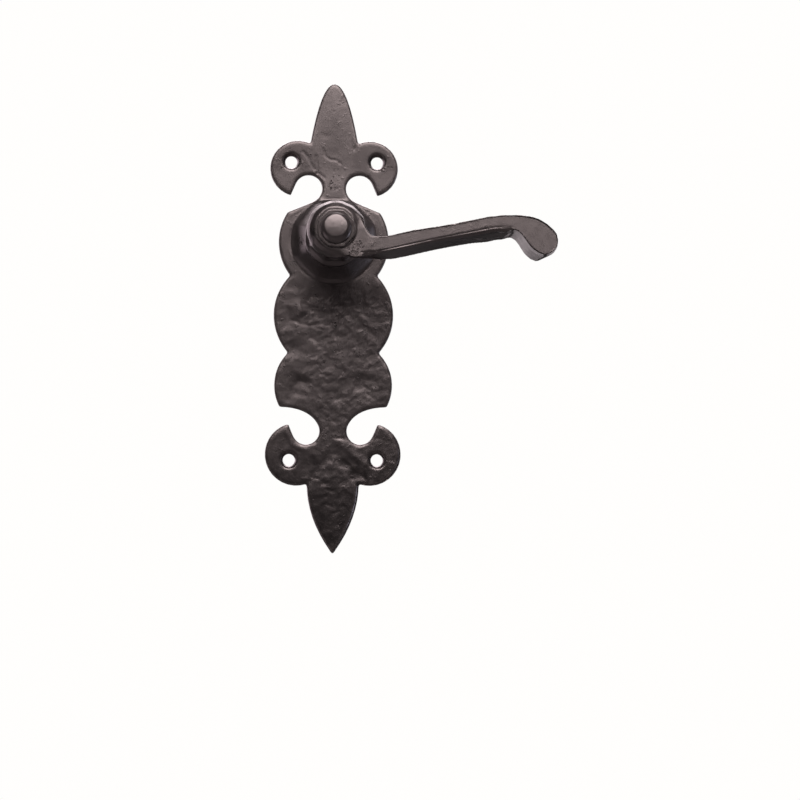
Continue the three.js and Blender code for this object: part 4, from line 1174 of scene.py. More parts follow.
    def struck(self, points: Points, facing: Points) -> Points:
        """Strikes the rounds below the lever hardest, and the rear face not at all."""
        by_height = stepped(-points[:, 2], *self.blows_by_height)
        off_rose = 1 - self.blows_off_rose * smoothstep(-points[:, 1], *self.rose_level)
        sides = (self.blows_on_sides * smoothstep(np.abs(facing[:, 1]), 0.5, 0.1)
                 * smoothstep(-points[:, 1], 0.3, 1.0))
        off_bore = smoothstep(from_axis(points), self.rose_bore - 0.2, self.rose_bore + 1.0)
        return ((by_height * self.outward(points, facing) * off_rose + sides) * off_bore
                * (1 - self.in_countersink(points)))

    def flaky(self, points: Points, facing: Points) -> Points:
        """Leaves flakes mostly on the middle and right of the rounds below the lever."""
        share = stepped(-points[:, 2], *self.flakes_by_height) * stepped(points[:, 0], *self.flakes_by_side)
        on_front = smoothstep(-facing[:, 1], 0.5, 0.9) * smoothstep(-points[:, 1], *self.front_level)
        off_rose = smoothstep(from_axis(points), *self.flakes_off_rose)
        return (self.flakes_anywhere + share) * on_front * off_rose

    def grained(self, points: Points, facing: Points) -> Points:
        """Leaves the whole front grainy, the rounds below the lever most."""
        by_height = stepped(-points[:, 2], *self.grain_by_height)
        in_bore = fading(from_axis(points), self.rose_bore, self.rose_bore + 1.0)
        smooth = np.maximum(self.in_countersink(points), in_bore)
        return by_height * self.outward(points, facing) * (1 - smooth)

    def pitted(self, points: Points) -> Points:
        """Crowds the pits on the upper neck, beside it and on the lower neck, and thins them on the spear."""
        flat = points[:, [0, 2]]
        crowded = sum(np.exp(-np.sum((flat - spot) ** 2, axis=1) / reach ** 2)
                      for spot, reach in self.pit_crowds)
        fewer, low, high = self.few_pits
        return crowded - fewer * smoothstep(points[:, 2], low, high)

    def painted_shade(self, points: Points) -> Points:
        """Paints shade on the lower fleur-de-lys, darker towards the bottom and its middle most of all, and
        in the countersinks.
        """
        down = -points[:, 2]
        below, beside = self.painted_shade_middle
        middle = smoothstep(down, *below) * smoothstep(np.abs(points[:, 0]), *beside)
        low = stepped(down, *self.painted_shade_by_height) + self.painted_shade_in_middle * middle
        return np.maximum(np.minimum(low, 1), self.in_countersink(points))


@dataclass
class SpindleNeck(Casting):
    """The neck that carries the lever: journal, collar, waist and tenon."""

    node: str = "spindle_neck"
    body: Body = Body.LEVER
    slot: Slot = Slot.LEVER_IRON
    voxels: Voxels = Voxels(pitch=0.36, smoothing=2)
    blows: Blows = Blows(blow_width=5.0, blow_depth=0.3, swell_width=7.0, swell_depth=0.7,
                         flake_width=2.6, flake_depth=0.05, seed=11.0)
    seat: float = 12.9
    head_seat: float = 36.4
    socket_reach: float = 6.4
    wear: int = 10
    blow_share: float = 0.5
    flake_share: float = 0.5
    grain_share: float = 0.3

    def outside(self, points: Points) -> Points:
        """Returns how much each point lies on the part of the neck that shows."""
        return (smoothstep(-points[:, 1], self.seat, self.seat + 0.8)
                * smoothstep(from_axis(points), self.socket_reach, self.socket_reach + 0.8)
                * fading(-points[:, 1], self.head_seat - 1.2, self.head_seat))

    def shaped(self, mesh: Mesh) -> Points:
        """Wears the neck's eight edges round."""
        points = positions(mesh)
        return points + self.outside(points)[:, None] * (evened(mesh, points, self.wear) - points)

    def struck(self, points: Points, facing: Points) -> Points:
        """Strikes what shows, and leaves the journal, the socket and the tenon true."""
        return self.blow_share * self.outside(points)

    def flaky(self, points: Points, facing: Points) -> Points:
        """Leaves a few small flakes on the neck."""
        return self.flake_share * self.outside(points)

    def grained(self, points: Points, facing: Points) -> Points:
        """Leaves what shows of the neck a little grainy."""
        return self.grain_share * self.outside(points)


@dataclass
class LeverArm(Casting):
    """The lever: its eight-sided eye, and the arm that widens and ends in a scroll.

    Fields of four numbers say where something fades in and out, for between(). They are places along
    the arm, but angles about the spindle axis in "filled" and "shoulder".
    """

    node: str = "lever_arm"
    body: Body = Body.LEVER
    slot: Slot = Slot.LEVER_IRON
    voxels: Voxels = Voxels(pitch=0.30, smoothing=1)
    blows: Blows = Blows(blow_width=4.6, blow_depth=0.42, swell_width=6.5, swell_depth=0.9,
                         flake_width=2.8, flake_depth=0.05, grain_depth=0.20, seed=23.0)
    bar: tuple = (1.0, 12.0, 71.0, 77.5)
    back_level: float = 34.0
    face_root: float = 47.0
    face_flare: float = 3.8
    flare: tuple = (22.0, 100.0)
    face_lean: float = 0.05
    face_front: tuple = (45.2, 46.2)
    face_height: float = 5.0
    face_drop: float = 0.95
    face_rise: float = 0.45
    lower_part: tuple = (0.75, 0.30)
    upper_part: tuple = (0.60, 0.95)
    raised: tuple = (20.0, 30.0, 46.0, 58.0)
    lower_edge: tuple = ((8, -10.2), (16, -9.2), (34, -5.0), (46, -2.3), (58, 0.0), (70, 1.8), (88, -10.7),
                         (96, -10.7))

    belly: float = 1.5
    belly_place: tuple = (58.0, 69.0, 72.0, 77.0)
    belly_behind: tuple = (47.0, 40.0)
    throat: float = 0.1
    throat_place: tuple = (73.0, 76.5, 78.0, 82.0)
    bevel: float = 0.6
    band: tuple = (0.7, 1.5)
    band_grows: tuple = (22.0, 70.0)
    band_turn: float = 0.75
    line_width: float = 0.24
    line_depth: float = 0.20
    edge_fades: tuple = (2.6, 4.9)

    eye: float = 12.4
    eye_front: float = 47.6
    eye_ends: tuple = (14.0, 20.0)
    eye_round: tuple = (6.0, 9.5)
    eye_leans: tuple = (7.0, 12.0)
    tenon_hole: float = 5.2
    washer_seat: float = 8.4
    roundness: float = 0.75
    filled: tuple = (-118.0, -64.0, 2.0, 44.0)
    filled_front: tuple = (42.8, 43.8)
    shoulder: tuple = (-20.0, -12.0, 66.0, 78.0)
    shoulder_reach: tuple = (9.0, 9.8)
    shoulder_ends: tuple = (15.0, 19.0)
    shoulder_front: tuple = (38.0, 40.0)
    shoulder_wear: int = 6

    blown_from: tuple = (13.0, 20.0)
    blown_top: float = 0.85
    blown_below: float = 0.04
    blown_face: float = 0.01
    blown_eye: tuple = (0.10, (0.2, 0.5, 3.0))
    eye_face: float = 47.4
    flakes: tuple = (0.25, 0.02)
    grain: float = 0.16
    smooth_arm: tuple = ((0.35, 16.0, 26.0), (0.5, 60.0, 76.0))
    pit_crowd: tuple = (9.0, -8.0)
    pit_reach: float = 5.0
    few_pits: tuple = (0.7, 16.0, 24.0)
    # Painted shade on the eye's left side, between the washer and the rim.
    painted_shade_share: float = 0.9
    painted_shade_ring: tuple = (11.7, 10.9)
    painted_shade_left: tuple = (1.5, 5.0)
    painted_shade_above: tuple = (-9.0, -6.0)

    def front_edge(self) -> tuple[Points, Points]:
        """Finds the edge between the arm's front face and its underside.

        Returns:
            Points along it, and at each the outward direction halfway between the two faces.
        """
        places, ways = [], []
        for start, end, beside in edges_of(self.node):
            if len(beside) != 2:
                continue
            front, side = sorted(beside, key=lambda normal: normal.y)
            if front.y > -0.9 or abs(side.y) > 0.6 or side.z > 0.25 or side.x > 0.8 or start[0] < 14:
                continue
            way = np.array(front + side)
            along = walked(start, end, 0.3)
            places.extend(along)
            ways.extend([way / np.linalg.norm(way)] * len(along))
        return np.array(places), np.array(ways)

    def on_bar(self, x: Points) -> Points:
        """Returns 1 along the straight part of the arm and 0 at the eye and the scroll."""
        return between(x, *self.bar)

    def band_height(self, x: Points) -> Points:
        """Returns the height of the leaning band under the face, which grows toward the scroll."""
        narrow, wide = self.band
        return narrow + (wide - narrow) * smoothstep(x, *self.band_grows)

    def above_edge(self, points: Points) -> Points:
        """Returns how far each point lies above the lower edge of the arm's face."""
        along, low = np.array(self.lower_edge).T
        return points[:, 2] - np.interp(points[:, 0], along, low)

    def rounded(self, points: Points) -> Points:
        """Returns the points with the eye's eight corners drawn in toward a round."""
        corner = 1 / np.cos(from_flat(points))
        drawn = (1 + (1 - self.roundness) * (corner - 1)) / corner
        by_reach = smoothstep(from_axis(points), self.washer_seat, self.eye - 0.5)
        moved = points.copy()
        moved[:, [0, 2]] *= (1 + (drawn - 1) * by_reach * fading(points[:, 0], *self.eye_round))[:, None]
        return moved

    def dropped(self, points: Points, facing: Points) -> Points:
        """Returns the points with the face's lower edge and the underside by the scroll drawn down."""
        x, level = points[:, 0], -points[:, 1]
        share = np.clip(self.above_edge(points) / self.face_height, 0, 1)
        low, high = smoothstep(share, *self.lower_part), smoothstep(share, *self.upper_part)
        forward = np.clip((level - self.back_level) / (self.face_root - self.back_level), 0, 1)
        bulge = self.belly * between(x, *self.belly_place) - self.throat * between(x, *self.throat_place)
        moved = points.copy()
        moved[:, 2] -= (self.face_drop + self.band_height(x)) * self.on_bar(x) * low * forward
        moved[:, 2] += self.face_rise * between(x, *self.raised) * high
        moved[:, 2] -= bulge * smoothstep(-facing[:, 2], 0.1, 0.6) * smoothstep(level, *self.belly_behind)
        return moved

    def leant(self, points: Points, facing: Points) -> Points:
        """Returns the points with the arm's front face flat, leaning back toward its top.

        The eye's face is carried down into it: it leans the same way there, and what lies lower
        between the washer and the arm is filled.
        """
        x, out = points[:, 0], -facing[:, 1]
        over = np.clip(self.above_edge(points), -2, 14)
        level = self.face_root + self.face_flare * smoothstep(x, *self.flare) - self.face_lean * over
        on_face = smoothstep(out, 0.60, 0.90) * smoothstep(-points[:, 1], *self.face_front)
        on_arm = smoothstep(x, *self.eye_ends)
        eye = self.face_lean * over * smoothstep(x, *self.eye_leans) * (1 - on_arm)
        moved = points.copy()
        moved[:, 1] += on_face * (on_arm * (-level - points[:, 1]) + eye)
        filled = (between(round_axis(points), *self.filled) * (1 - on_arm)
                  * smoothstep(from_axis(points), self.washer_seat + 0.1, self.washer_seat + 0.6)
                  * smoothstep(out, 0.20, 0.45) * smoothstep(-points[:, 1], *self.filled_front))
        wanted = -(self.eye_front - self.face_lean * (11.0 + points[:, 2]))
        moved[:, 1] += filled * (wanted - moved[:, 1])
        return moved

    def bevelled(self, points: Points) -> Points:
        """Cuts the band that leans back under the face, and a fine line where it starts."""
        places, ways = self.front_edge()
        places = self.dropped(places, ways)
        near, nearest = toward(points, places, 5.0)
        bar = self.on_bar(points[:, 0])
        way = ways[nearest] + bar[:, None] * np.array((0, -self.band_turn, 0))
        way /= np.linalg.norm(way, axis=1)[:, None]
        height = self.bevel + (self.band_height(points[:, 0]) - self.bevel) * bar
        sine = np.sqrt(np.clip(1 - way[:, 1] ** 2, 0, 1))
        from_edge = points - places[nearest]
        past = np.sum(from_edge * way, axis=1) + height * sine
        moved = points - (np.maximum(past, 0) * fading(near, *self.edge_fades))[:, None] * way
        over = np.abs(from_edge[:, 2] - height) / self.line_width
        moved[:, 1] += self.line_depth * bar * np.where(near < self.edge_fades[1], np.exp(-over * over), 0)
        return moved

    def at_shoulder(self, points: Points) -> Points:
        """Returns 1 at the worn edge where the eye's right side runs down into the arm."""
        return (between(round_axis(points), *self.shoulder)
                * smoothstep(from_axis(points), *self.shoulder_reach)
                * fading(points[:, 0], *self.shoulder_ends) * smoothstep(-points[:, 1], *self.shoulder_front))

    def shaped(self, mesh: Mesh) -> Points:
        """Rounds the eye, lowers the edges, leans the face back, cuts the bevel and wears the shoulder."""
        facing = normals(mesh)
        moved = self.dropped(self.rounded(positions(mesh)), facing)
        moved = self.bevelled(self.leant(moved, facing))
        return moved + self.at_shoulder(moved)[:, None] * (evened(mesh, moved, self.shoulder_wear) - moved)

    def off_hole(self, points: Points) -> Points:
        """Returns 0 at the tenon's square hole, whose sides stay true, and 1 beyond it."""
        hole = np.maximum(np.abs(points[:, 0]), np.abs(points[:, 2]))
        return smoothstep(hole, self.tenon_hole + 0.3, self.tenon_hole + 1.2)

    def struck(self, points: Points, facing: Points) -> Points:
        """Strikes the arm's top hardest, and its face hardly."""
        on_arm = smoothstep(points[:, 0], *self.blown_from)
        arm = (self.blown_face + self.blown_top * smoothstep(facing[:, 2], 0.2, 0.8)
               + self.blown_below * smoothstep(-facing[:, 2], 0.2, 0.8))
        eye = stepped(self.eye_face + points[:, 1], *self.blown_eye)
        return self.off_hole(points) * (on_arm * arm + (1 - on_arm) * eye)

    def flaky(self, points: Points, facing: Points) -> Points:
        """Leaves small flakes on the arm's top, and by the eye's face."""
        by_blows, everywhere = self.flakes
        return by_blows * self.struck(points, facing) + everywhere

    def grained(self, points: Points, facing: Points) -> Points:
        """Leaves the eye a little grainy, and the arm less so."""
        return self.grain * (1 - self.smooth(points)) * self.off_hole(points)

    def pitted(self, points: Points) -> Points:
        """Crowds the pits where the arm leaves the eye, and keeps them off the arm."""
        x, z = self.pit_crowd
        crowd = np.exp(-((points[:, 0] - x) ** 2 + (points[:, 2] - z) ** 2) / self.pit_reach ** 2)
        fewer, low, high = self.few_pits
        return crowd - fewer * smoothstep(points[:, 0], low, high)

    def smooth(self, points: Points) -> Points:
        """Leaves the arm smoother than the eye, and the scroll most of all."""
        return stepped(points[:, 0], 0.0, *self.smooth_arm)

    def painted_shade(self, points: Points) -> Points:
        """Paints shade on the eye's left side, from the washer to its rim."""
        reach = from_axis(points)
        left = smoothstep(-points[:, 0], *self.painted_shade_left) * smoothstep(points[:, 2], *self.painted_shade_above)
        ring = (smoothstep(reach, *self.painted_shade_ring)
                * smoothstep(reach, self.washer_seat - 0.6, self.washer_seat))
        return self.painted_shade_share * ring * left


# The head's washer and rivet


@dataclass
class LeverHead:
    """What holds the lever on its tenon: an eight-sided washer and a rivet with a domed head.

    Each of the flats that the hammer left on the dome is the way it faces and how deep it goes.
    """

    washer_radius: float = 8.0
    washer_bore: float = 3.2
    washer_back: float = 47.6
    washer_front: float = 48.6
    washer_edge: float = 0.42
    washer_corners: float = 0.7
    bore_edge: float = 0.1
    shank_radius: float = 3.0
    shank_back: float = 39.6
    dome_radius: float = 6.7
    dome_height: float = 3.0
    dome_rings: int = 44
    flats: tuple = ((-0.02, -1.0, 0.085, 1.0), (0.34, -1.0, 0.40, 0.16), (-0.42, -1.0, -0.05, 0.14),
                    (0.12, -1.0, -0.42, 0.16), (-0.30, -1.0, 0.46, 0.12), (0.85, -1.0, -0.10, 0.18))
    flatness: float = 0.72
    steps: int = 20

    def finished(self, how: str, node: str, mesh: Mesh, finish: Material, wear: tuple[float, float]) -> None:
        """Dresses a piece of the head and sets it on the lever.

        Args:
            how: What was done to it, for its name.
            node: The CAD node that it stands for.
            mesh: Its mesh.
            finish: Its material.
            wear: How proud a place stands where it starts to be rubbed, and where it is rubbed bare.
        """
        mesh.materials.append(finish)
        shade(mesh, 50)
        rubbed(mesh, *wear)
        kept_in_box(mesh, node)
        finish_piece(blank(f"{how}_{node}", mesh), Body.LEVER, Slot.BLACK_STEEL, node)

    def washer(self, finish: Material) -> None:
        """Builds the washer with its eased edges."""
        back, front = self.washer_back, self.washer_front
        rows = [round_ring(self.washer_bore, level, 8 * self.steps)
                for level in (back, back + self.bore_edge, front - self.bore_edge, front)]
        for share in (0.3, 0.6, 0.85):
            radius = self.washer_bore + (self.washer_radius - self.washer_bore) * share
            rows.append(eight_sided_ring(radius, front, self.steps, share))
        for turn in np.linspace(0, math.pi / 2, 6):
            rows.append(eight_sided_ring(self.washer_radius - self.washer_edge * (1 - math.sin(turn)),
                                         front - self.washer_edge * (1 - math.cos(turn)), self.steps,
                                         self.washer_corners))
        rows.append(eight_sided_ring(self.washer_radius, back, self.steps, self.washer_corners))
        mesh = skin("head_washer_eased", np.stack(rows), around=True)
        points = positions(mesh)
        on_front = smoothstep(-points[:, 1], front - 0.5, front)
        points[:, 1] += on_front * (0.05 + 0.05 * Lumps(2.6, 5).at(points))
        place(mesh, points)
        self.finished("eased", "head_washer", mesh, finish, (0.002, 0.02))

    def rivet(self, finish: Material) -> None:
        """Builds the rivet, its dome a little uneven from the hammer."""
        sides, base = 8 * self.steps, self.washer_front
        rows = [round_ring(self.shank_radius, level, sides) for level in (self.shank_back, base)]
        rows += [round_ring(radius, base, sides) for radius in (4.5, self.dome_radius - 0.25)]
        for turn in np.linspace(0.03, math.pi / 2 - 0.02, self.dome_rings):
            rows.append(round_ring(self.dome_radius * math.cos(turn),
                                   base + self.dome_height * math.sin(turn), sides))
        mesh = skin("dome_rivet_hammered", np.stack(rows))
        points = positions(mesh)
        on_dome = smoothstep(-points[:, 1], base + 0.2, base + 1.4)
        sunk = 0.05 + 0.04 * Lumps(3.4, 9).at(points) + 0.03 * Lumps(1.3, 12).at(points)
        points -= (on_dome * sunk)[:, None] * normals(mesh)
        for *way, depth in self.flats:
            way = np.array(way) / np.linalg.norm(way)
            crown = math.hypot(self.dome_radius * math.hypot(way[0], way[2]), self.dome_height * way[1])
            past = np.maximum((points + (0, base, 0)) @ way - (crown - depth), 0) * on_dome
            points -= self.flatness * past[:, None] * way
        place(mesh, points)
        self.finished("hammered", "dome_rivet", mesh, finish, (0.03, 0.09))


# The pieces behind the rose


@dataclass(frozen=True)
class TurnedRing:
    """A flat ring about the spindle axis, which takes its sizes from its CAD node."""

    node: str
    body: Body
    slot: Slot
    eased_edge: float = 0.12
    wave: float = 0.0
    thinned: float = 0.0

    def build(self, tree: Tree, finish: Material) -> None:
        """Turns the ring in its finish and sets it on its body."""
        points = positions(merged_copy(self.node))
        reach, level = from_axis(points), -points[:, 1]
        sizes = {"Inner Radius": float(reach.min()), "Outer Radius": float(reach.max()),
                 "Back": float(level.min() + self.thinned), "Front": float(level.max() - self.thinned),
                 "Eased Edge": self.eased_edge, "Wave": self.wave}
        piece = worked(blank(f"turned_{self.node}", bpy.data.meshes.new(self.node)), tree, {
            **{label: size * MM for label, size in sizes.items()}, "Material": finish})
        kept_in_box(piece.data, self.node)
        shade(piece.data, 40)
        finish_piece(piece, self.body, self.slot, self.node)


@dataclass(frozen=True)
class EasedPiece:
    """A cut or pressed piece whose CAD shape is right but for its sharp edges."""

    node: str
    body: Body
    slot: Slot
    eased_edge: float = 0.12
    flat_within: float = 0.5
    sharp_from: float = 40.0

    def build(self, finish: Material) -> None:
        """Eases the edges of a copy of the node and sets it on its body."""
        mesh = merged_copy(self.node)
        with opened(mesh) as work:
            bmesh.ops.dissolve_limit(work, angle_limit=math.radians(self.flat_within), verts=work.verts,
                                     edges=work.edges)
        mesh.materials.append(finish)
        piece = blank(f"eased_{self.node}", mesh)
        ease = piece.modifiers.new("eased edges", "BEVEL")
        ease.width = self.eased_edge * MM
        ease.segments = 2
        ease.limit_method = "ANGLE"
        ease.angle_limit = math.radians(self.sharp_from)
        settled(piece)
        kept_in_box(piece.data, self.node)
        shade(piece.data, 35)
        finish_piece(piece, self.body, self.slot, self.node)


@dataclass(frozen=True)
class Pin:
    """A round pin along the spindle's direction, with a chamfer at each end."""

    node: str
    chamfer: float = 0.18
    sides: int = 40

    def build(self, finish: Material) -> None:
        """Turns the pin where its CAD node lies."""
        low, high = (np.array(corner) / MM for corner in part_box(self.node))
        centre, radius = (low + high) / 2, (high[0] - low[0]) / 2
        profile = ((radius - self.chamfer, -high[1]), (radius, -high[1] + self.chamfer),
                   (radius, -low[1] - self.chamfer), (radius - self.chamfer, -low[1]))
        rings = np.stack([round_ring(reach, level, self.sides) for reach, level in profile])
        rings += np.array([centre[0], 0, centre[2]])
        mesh = skin(f"{self.node}_turned", rings)
        mesh.materials.append(finish)
        shade(mesh, 30)
        finish_piece(blank(f"turned_{self.node}", mesh), Body.PLATE, Slot.ZINC, self.node)


@dataclass
class ReturnSpring:
    """The torsion spring round the journal, which lifts the lever."""

    wire_radius: float = 0.45
    coil_radius: float = 10.3
    pitch: float = 1.1
    turns: float = 2.5
    first_level: float = 2.55
    leg: float = 6.2
    lug_angle: float = 115.0
    drive_front: float = 7.5
    leg_rise: float = 0.2
    coil_points: int = 121

    def line(self) -> Points:
        """Returns the points along the wire, from its fixed leg to its moving one."""
        end = math.radians(self.lug_angle)
        start = math.radians(self.lug_angle + 360 * self.turns)
        out = np.array([math.cos(start), math.sin(start)])
        along = np.array([-math.sin(start), math.cos(start)])
        points = [(*(self.coil_radius * out + self.leg * share * along), self.first_level)
                  for share in (1, 0.66, 0.33)]
        bend = 2 * self.wire_radius / self.coil_radius
        turned = np.linspace(0, 2 * math.pi * self.turns - bend, self.coil_points)
        coil = [(start - angle, self.first_level + self.pitch * angle / (2 * math.pi)) for angle in turned]
        top = self.first_level + self.turns * self.pitch + 2 * self.wire_radius
        leg_levels = (top, (top + self.drive_front) / 2, self.drive_front + self.leg_rise)
        for angle, level in coil + [(end, level) for level in leg_levels]:
            points.append((self.coil_radius * math.cos(angle), self.coil_radius * math.sin(angle), level))
        return np.array([(x, -level, z) for x, z, level in points])

    def build(self, tree: Tree, finish: Material) -> None:
        """Winds the spring and sets it on the plate."""
        line = self.line() * MM
        mesh = bpy.data.meshes.new("return_spring_line")
        mesh.from_pydata([tuple(point) for point in line], [(i, i + 1) for i in range(len(line) - 1)], [])
        piece = worked(blank("wound_return_spring", mesh), tree, {
            "Wire Radius": self.wire_radius * MM, "Material": finish})
        kept_in_box(piece.data, "return_spring")
        shade(piece.data, 60)
        finish_piece(piece, Body.PLATE, Slot.SPRING, "return_spring")


@dataclass
class CoverScrews:
    """The three slotted screws of the rear cover, whose slots point different ways."""

    count: int = 3
    orbit: float = 14.6
    first_angle: float = 30.0
    first_turn: float = 0.35
    turn_step: float = 1.9
    head_radius: float = 1.7
    head_back: float = 0.2
    head_front: float = 0.9
    shank_radius: float = 0.8
    shank_front: float = 4.1
    tip: float = 0.3
    slot_width: float = 0.4
    slot_depth: float = 0.35
    edge: float = 0.14
    sides: int = 48

    def blade(self) -> Piece:
        """Builds the blade that cuts the slot."""
        mesh = bpy.data.meshes.new("slot_blade")
        size = np.array([4 * self.head_radius, 2 * self.slot_depth, self.slot_width]) * MM
        with opened(mesh) as work:
            bmesh.ops.create_cube(work, size=1.0)
            bmesh.ops.scale(work, vec=Vector(size), verts=work.verts)
            bmesh.ops.translate(work, vec=Vector((0, -self.head_back * MM, 0)), verts=work.verts)
        return blank("slot_blade", mesh)

    def screw(self) -> Piece:
        """Builds one screw on the spindle axis."""
        head, edge = self.head_radius, self.edge
        profile = [(head - 2 * edge, self.head_back), (head - edge, self.head_back + 0.3 * edge),
                   (head, self.head_back + edge), (head, self.head_front),
                   (self.shank_radius, self.head_front), (self.shank_radius, self.shank_front - self.tip),
                   (0.4 * self.shank_radius, self.shank_front)]
        rings = np.stack([round_ring(radius, level, self.sides) for radius, level in profile])
        screw, blade = blank("cover_screws", skin("cover_screw", rings)), self.blade()
        slot = screw.modifiers.new("slot", "BOOLEAN")
        slot.object = blade
        slot.operation = "DIFFERENCE"
        slot.solver = "EXACT"
        settled(screw)
        bpy.data.objects.remove(blade)
        return screw

    def build(self, tree: Tree, finish: Material) -> None:
        """Sets the screws round the cover."""
        piece = worked(self.screw(), tree, {
            "Count": self.count, "Orbit": self.orbit * MM, "First Angle": math.radians(self.first_angle),
            "First Turn": self.first_turn, "Turn Step": self.turn_step, "Material": finish})
        shade(piece.data, 30)
        nodes = [f"cover_screw_{i + 1}" for i in range(self.count)]
        finish_piece(piece, Body.PLATE, Slot.ZINC, *nodes)


# Studio


@dataclass(frozen=True)
class Lamp:
    """A soft area lamp that is aimed at the handle."""

    name: str
    place: tuple[float, float, float]
    width: float
    height: float
    power: float
    colour: Colour = (1.0, 1.0, 1.0)
    aim: tuple[float, float, float] = (0.02, 0.0, -0.03)
    spread: float = 80.0

    def hang(self) -> None:
        """Hangs the lamp."""
        light = bpy.data.lights.new(self.name, "AREA")
        light.shape = "RECTANGLE"
        light.size, light.size_y = self.width, self.height
        light.energy = self.power
        light.color = self.colour
        light.spread = math.radians(self.spread)
        lamp = bpy.data.objects.new(self.name, light)
        bpy.context.scene.collection.objects.link(lamp)
        lamp.visible_camera = False
        lamp.location = self.place
        lamp.rotation_euler = (Vector(self.aim) - Vector(self.place)).to_track_quat("-Z", "Y").to_euler()


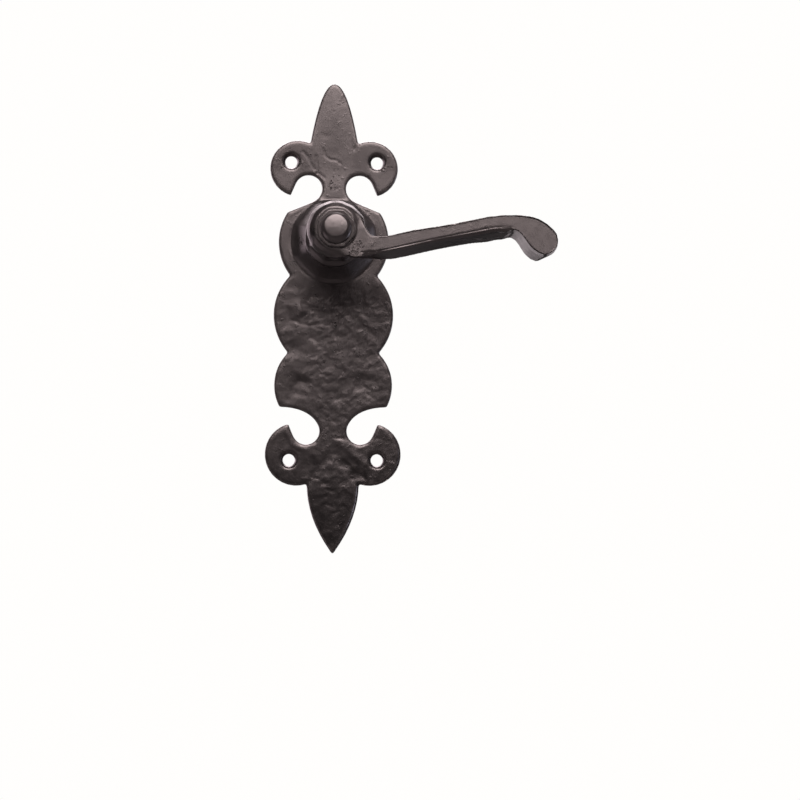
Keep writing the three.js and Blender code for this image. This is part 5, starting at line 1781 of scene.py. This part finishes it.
@dataclass
class Studio:
    """The camera, the pale floor, the backdrop with the cards that hang from it, and the lamps."""

    lens: float = 88.4
    sensor_width: float = 36.0
    camera_place: tuple = (-0.018, -0.878, -0.104)
    camera_aim: tuple = (0.030, 0.0, -0.071)
    camera_roll: float = 0.2
    floor_level: float = -2.2
    floor_width: float = 8.0
    pale: Colour = (1.0, 0.992, 0.98)
    mirrored: Colour = (1.0, 0.90, 0.93)
    card_paint: Colour = (0.82, 0.82, 0.81)
    floor_paint: Colour = (0.76, 0.76, 0.75)
    floor_bright: float = 0.95
    backdrop: float = 1.15
    backdrop_low: float = 0.02
    backdrop_high: float = 2.2
    backdrop_sides: tuple = (-2.2, 1.1)
    low_card: tuple = (-1.3, 0.16, -0.42)
    right_card: tuple = (0.34, 0.62, -0.36)
    room_low: Colour = (0.020, 0.020, 0.021)
    room_high: Colour = (0.20, 0.188, 0.192)
    lamps: tuple = (
        Lamp("key", (0.06, -0.80, 0.585), 0.75, 0.60, 2.8, (1.0, 0.985, 0.97)),
        Lamp("rim", (0.0, 0.72, 0.66), 1.6, 0.55, 4.8, (1.0, 0.92, 0.95)),
        Lamp("left", (-0.90, 0.72, 0.05), 0.65, 1.0, 1.15, (1.0, 0.87, 0.95)),
        Lamp("right", (0.95, 0.06, -0.18), 0.3, 0.7, 0.60, (0.78, 0.84, 1.0)),
        Lamp("low left", (-0.90, -0.32, -0.55), 0.6, 0.6, 0.18, (1.0, 0.93, 0.97)),
        Lamp("top", (0.10, 0.30, 0.92), 0.6, 0.5, 0.42, (1.0, 0.95, 0.97)),
    )

    def camera(self) -> None:
        """Places the camera."""
        data = bpy.data.cameras.new("camera")
        data.lens, data.sensor_width = self.lens, self.sensor_width
        camera = bpy.data.objects.new("camera", data)
        bpy.context.scene.collection.objects.link(camera)
        bpy.context.scene.camera = camera
        look = (Vector(self.camera_aim) - Vector(self.camera_place)).to_track_quat("-Z", "Y")
        turn = look.to_matrix() @ Matrix.Rotation(math.radians(self.camera_roll), 3, "Z")
        camera.matrix_world = Matrix.Translation(self.camera_place) @ turn.to_4x4()

    def white_card(self) -> Material:
        """Builds the cards' material, white where it is seen and a little warmer where it is mirrored."""
        made, graph = new_material("white_card")
        paint = graph.first("ShaderNodeBsdfDiffuse", {"Color": (*self.card_paint, 1)})
        rays = graph.add("ShaderNodeLightPath").outputs
        through = graph.math("MAXIMUM", rays["Is Camera Ray"], rays["Is Transmission Ray"])
        bright = graph.first("ShaderNodeEmission", {"Color": graph.mix(through, self.mirrored, self.pale),
                                                    "Strength": 1.0})
        seen = graph.math("MAXIMUM", through, rays["Is Glossy Ray"])
        graph.shown("ShaderNodeOutputMaterial", seen, paint, bright)
        return made

    def pale_paint(self) -> Material:
        """Builds the floor's material, nearly white where it is seen, with its shadows."""
        made, graph = new_material("pale_floor")
        paint = graph.first("ShaderNodeBsdfDiffuse", {"Color": (*self.floor_paint, 1)})
        bright = graph.first("ShaderNodeEmission", {"Color": (*self.pale, 1), "Strength": 1.0})
        rays = graph.add("ShaderNodeLightPath").outputs
        seen = graph.math("MULTIPLY", rays["Is Camera Ray"], self.floor_bright)
        graph.shown("ShaderNodeOutputMaterial", seen, paint, bright)
        return made

    def sheet(self, name: str, corners: list, finish: Material) -> None:
        """Stretches a flat sheet of the studio between four corners."""
        mesh = bpy.data.meshes.new(name)
        mesh.from_pydata(corners, [], [(0, 1, 2, 3)])
        mesh.materials.append(finish)
        blank(name, mesh)

    def sheets(self) -> None:
        """Builds the floor, the backdrop behind the handle, and the two cards below it."""
        card, depth = self.white_card(), self.backdrop
        for name, (left, right, low), high in (
                ("backdrop", (*self.backdrop_sides, self.backdrop_low), self.backdrop_high),
                ("low_card", self.low_card, self.backdrop_low),
                ("right_card", self.right_card, self.backdrop_low)):
            self.sheet(name, [(left, depth, low), (right, depth, low), (right, depth, high),
                              (left, depth, high)], card)
        reach, level = self.floor_width / 2, self.floor_level
        self.sheet("floor", [(-reach, -reach, level), (reach, -reach, level), (reach, reach, level),
                             (-reach, reach, level)], self.pale_paint())

    def world(self) -> None:
        """Fills the rest of the room with a soft grey, lighter above."""
        world = bpy.data.worlds.new("room")
        bpy.context.scene.world = world
        world.use_nodes = True
        graph = Graph(world.node_tree)
        up = graph.parted(graph.add("ShaderNodeTexCoord").outputs["Generated"])[2]
        colour = graph.mix(graph.ramp(up, -0.25, 0.6), self.room_low, self.room_high)
        fill = graph.first("ShaderNodeBackground", {"Color": colour, "Strength": 1.0})
        bright = graph.first("ShaderNodeBackground", {"Color": (*self.pale, 1), "Strength": 1.0})
        rays = graph.add("ShaderNodeLightPath").outputs
        seen = graph.math("MAXIMUM", rays["Is Camera Ray"], rays["Is Transmission Ray"])
        graph.shown("ShaderNodeOutputWorld", seen, fill, bright)

    def build(self) -> None:
        """Sets up the studio."""
        self.camera()
        self.sheets()
        self.world()
        for lamp in self.lamps:
            lamp.hang()
        bpy.context.scene.view_settings.view_transform = "Standard"
        LOG.info("studio: %d lamps", len(self.lamps))


def main() -> None:
    """Builds the handle in its studio, piece by piece."""
    logging.basicConfig(level=logging.INFO, format="%(name)s: %(message)s")
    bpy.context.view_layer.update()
    Studio().build()

    plate_iron, lever_iron, black_steel = (kind.material() for kind in (PLATE_IRON, LEVER_IRON, BLACK_STEEL))
    bronze, zinc, spring_steel = (kind.material() for kind in (BRONZE, ZINC, SPRING_STEEL))
    hammer, lathe = hammering(), turned_ring()

    Backplate().build(hammer, plate_iron)
    for casting in (SpindleNeck(), LeverArm()):
        casting.build(hammer, lever_iron)
    head = LeverHead()
    head.washer(black_steel)
    head.rivet(black_steel)

    for node in ("journal_bush", "front_washer", "thrust_washer"):
        TurnedRing(node, Body.PLATE, Slot.BRONZE).build(lathe, bronze)
    TurnedRing("wave_washer", Body.LEVER, Slot.SPRING, eased_edge=0.05, wave=0.1, thinned=0.1).build(
        lathe, spring_steel)
    EasedPiece("rear_cover", Body.PLATE, Slot.ZINC, eased_edge=0.2).build(zinc)
    EasedPiece("drive_plate", Body.LEVER, Slot.ZINC).build(zinc)
    EasedPiece("circlip", Body.LEVER, Slot.SPRING, eased_edge=0.1).build(spring_steel)
    EasedPiece("grub_screw", Body.LEVER, Slot.BLACK_STEEL, eased_edge=0.08).build(black_steel)
    for node in ("stop_pin_1", "stop_pin_2", "spring_anchor_pin"):
        Pin(node).build(zinc)
    ReturnSpring().build(drawn_wire(), spring_steel)
    CoverScrews().build(set_in_a_circle(), zinc)


if __name__ == "__main__":
    main()
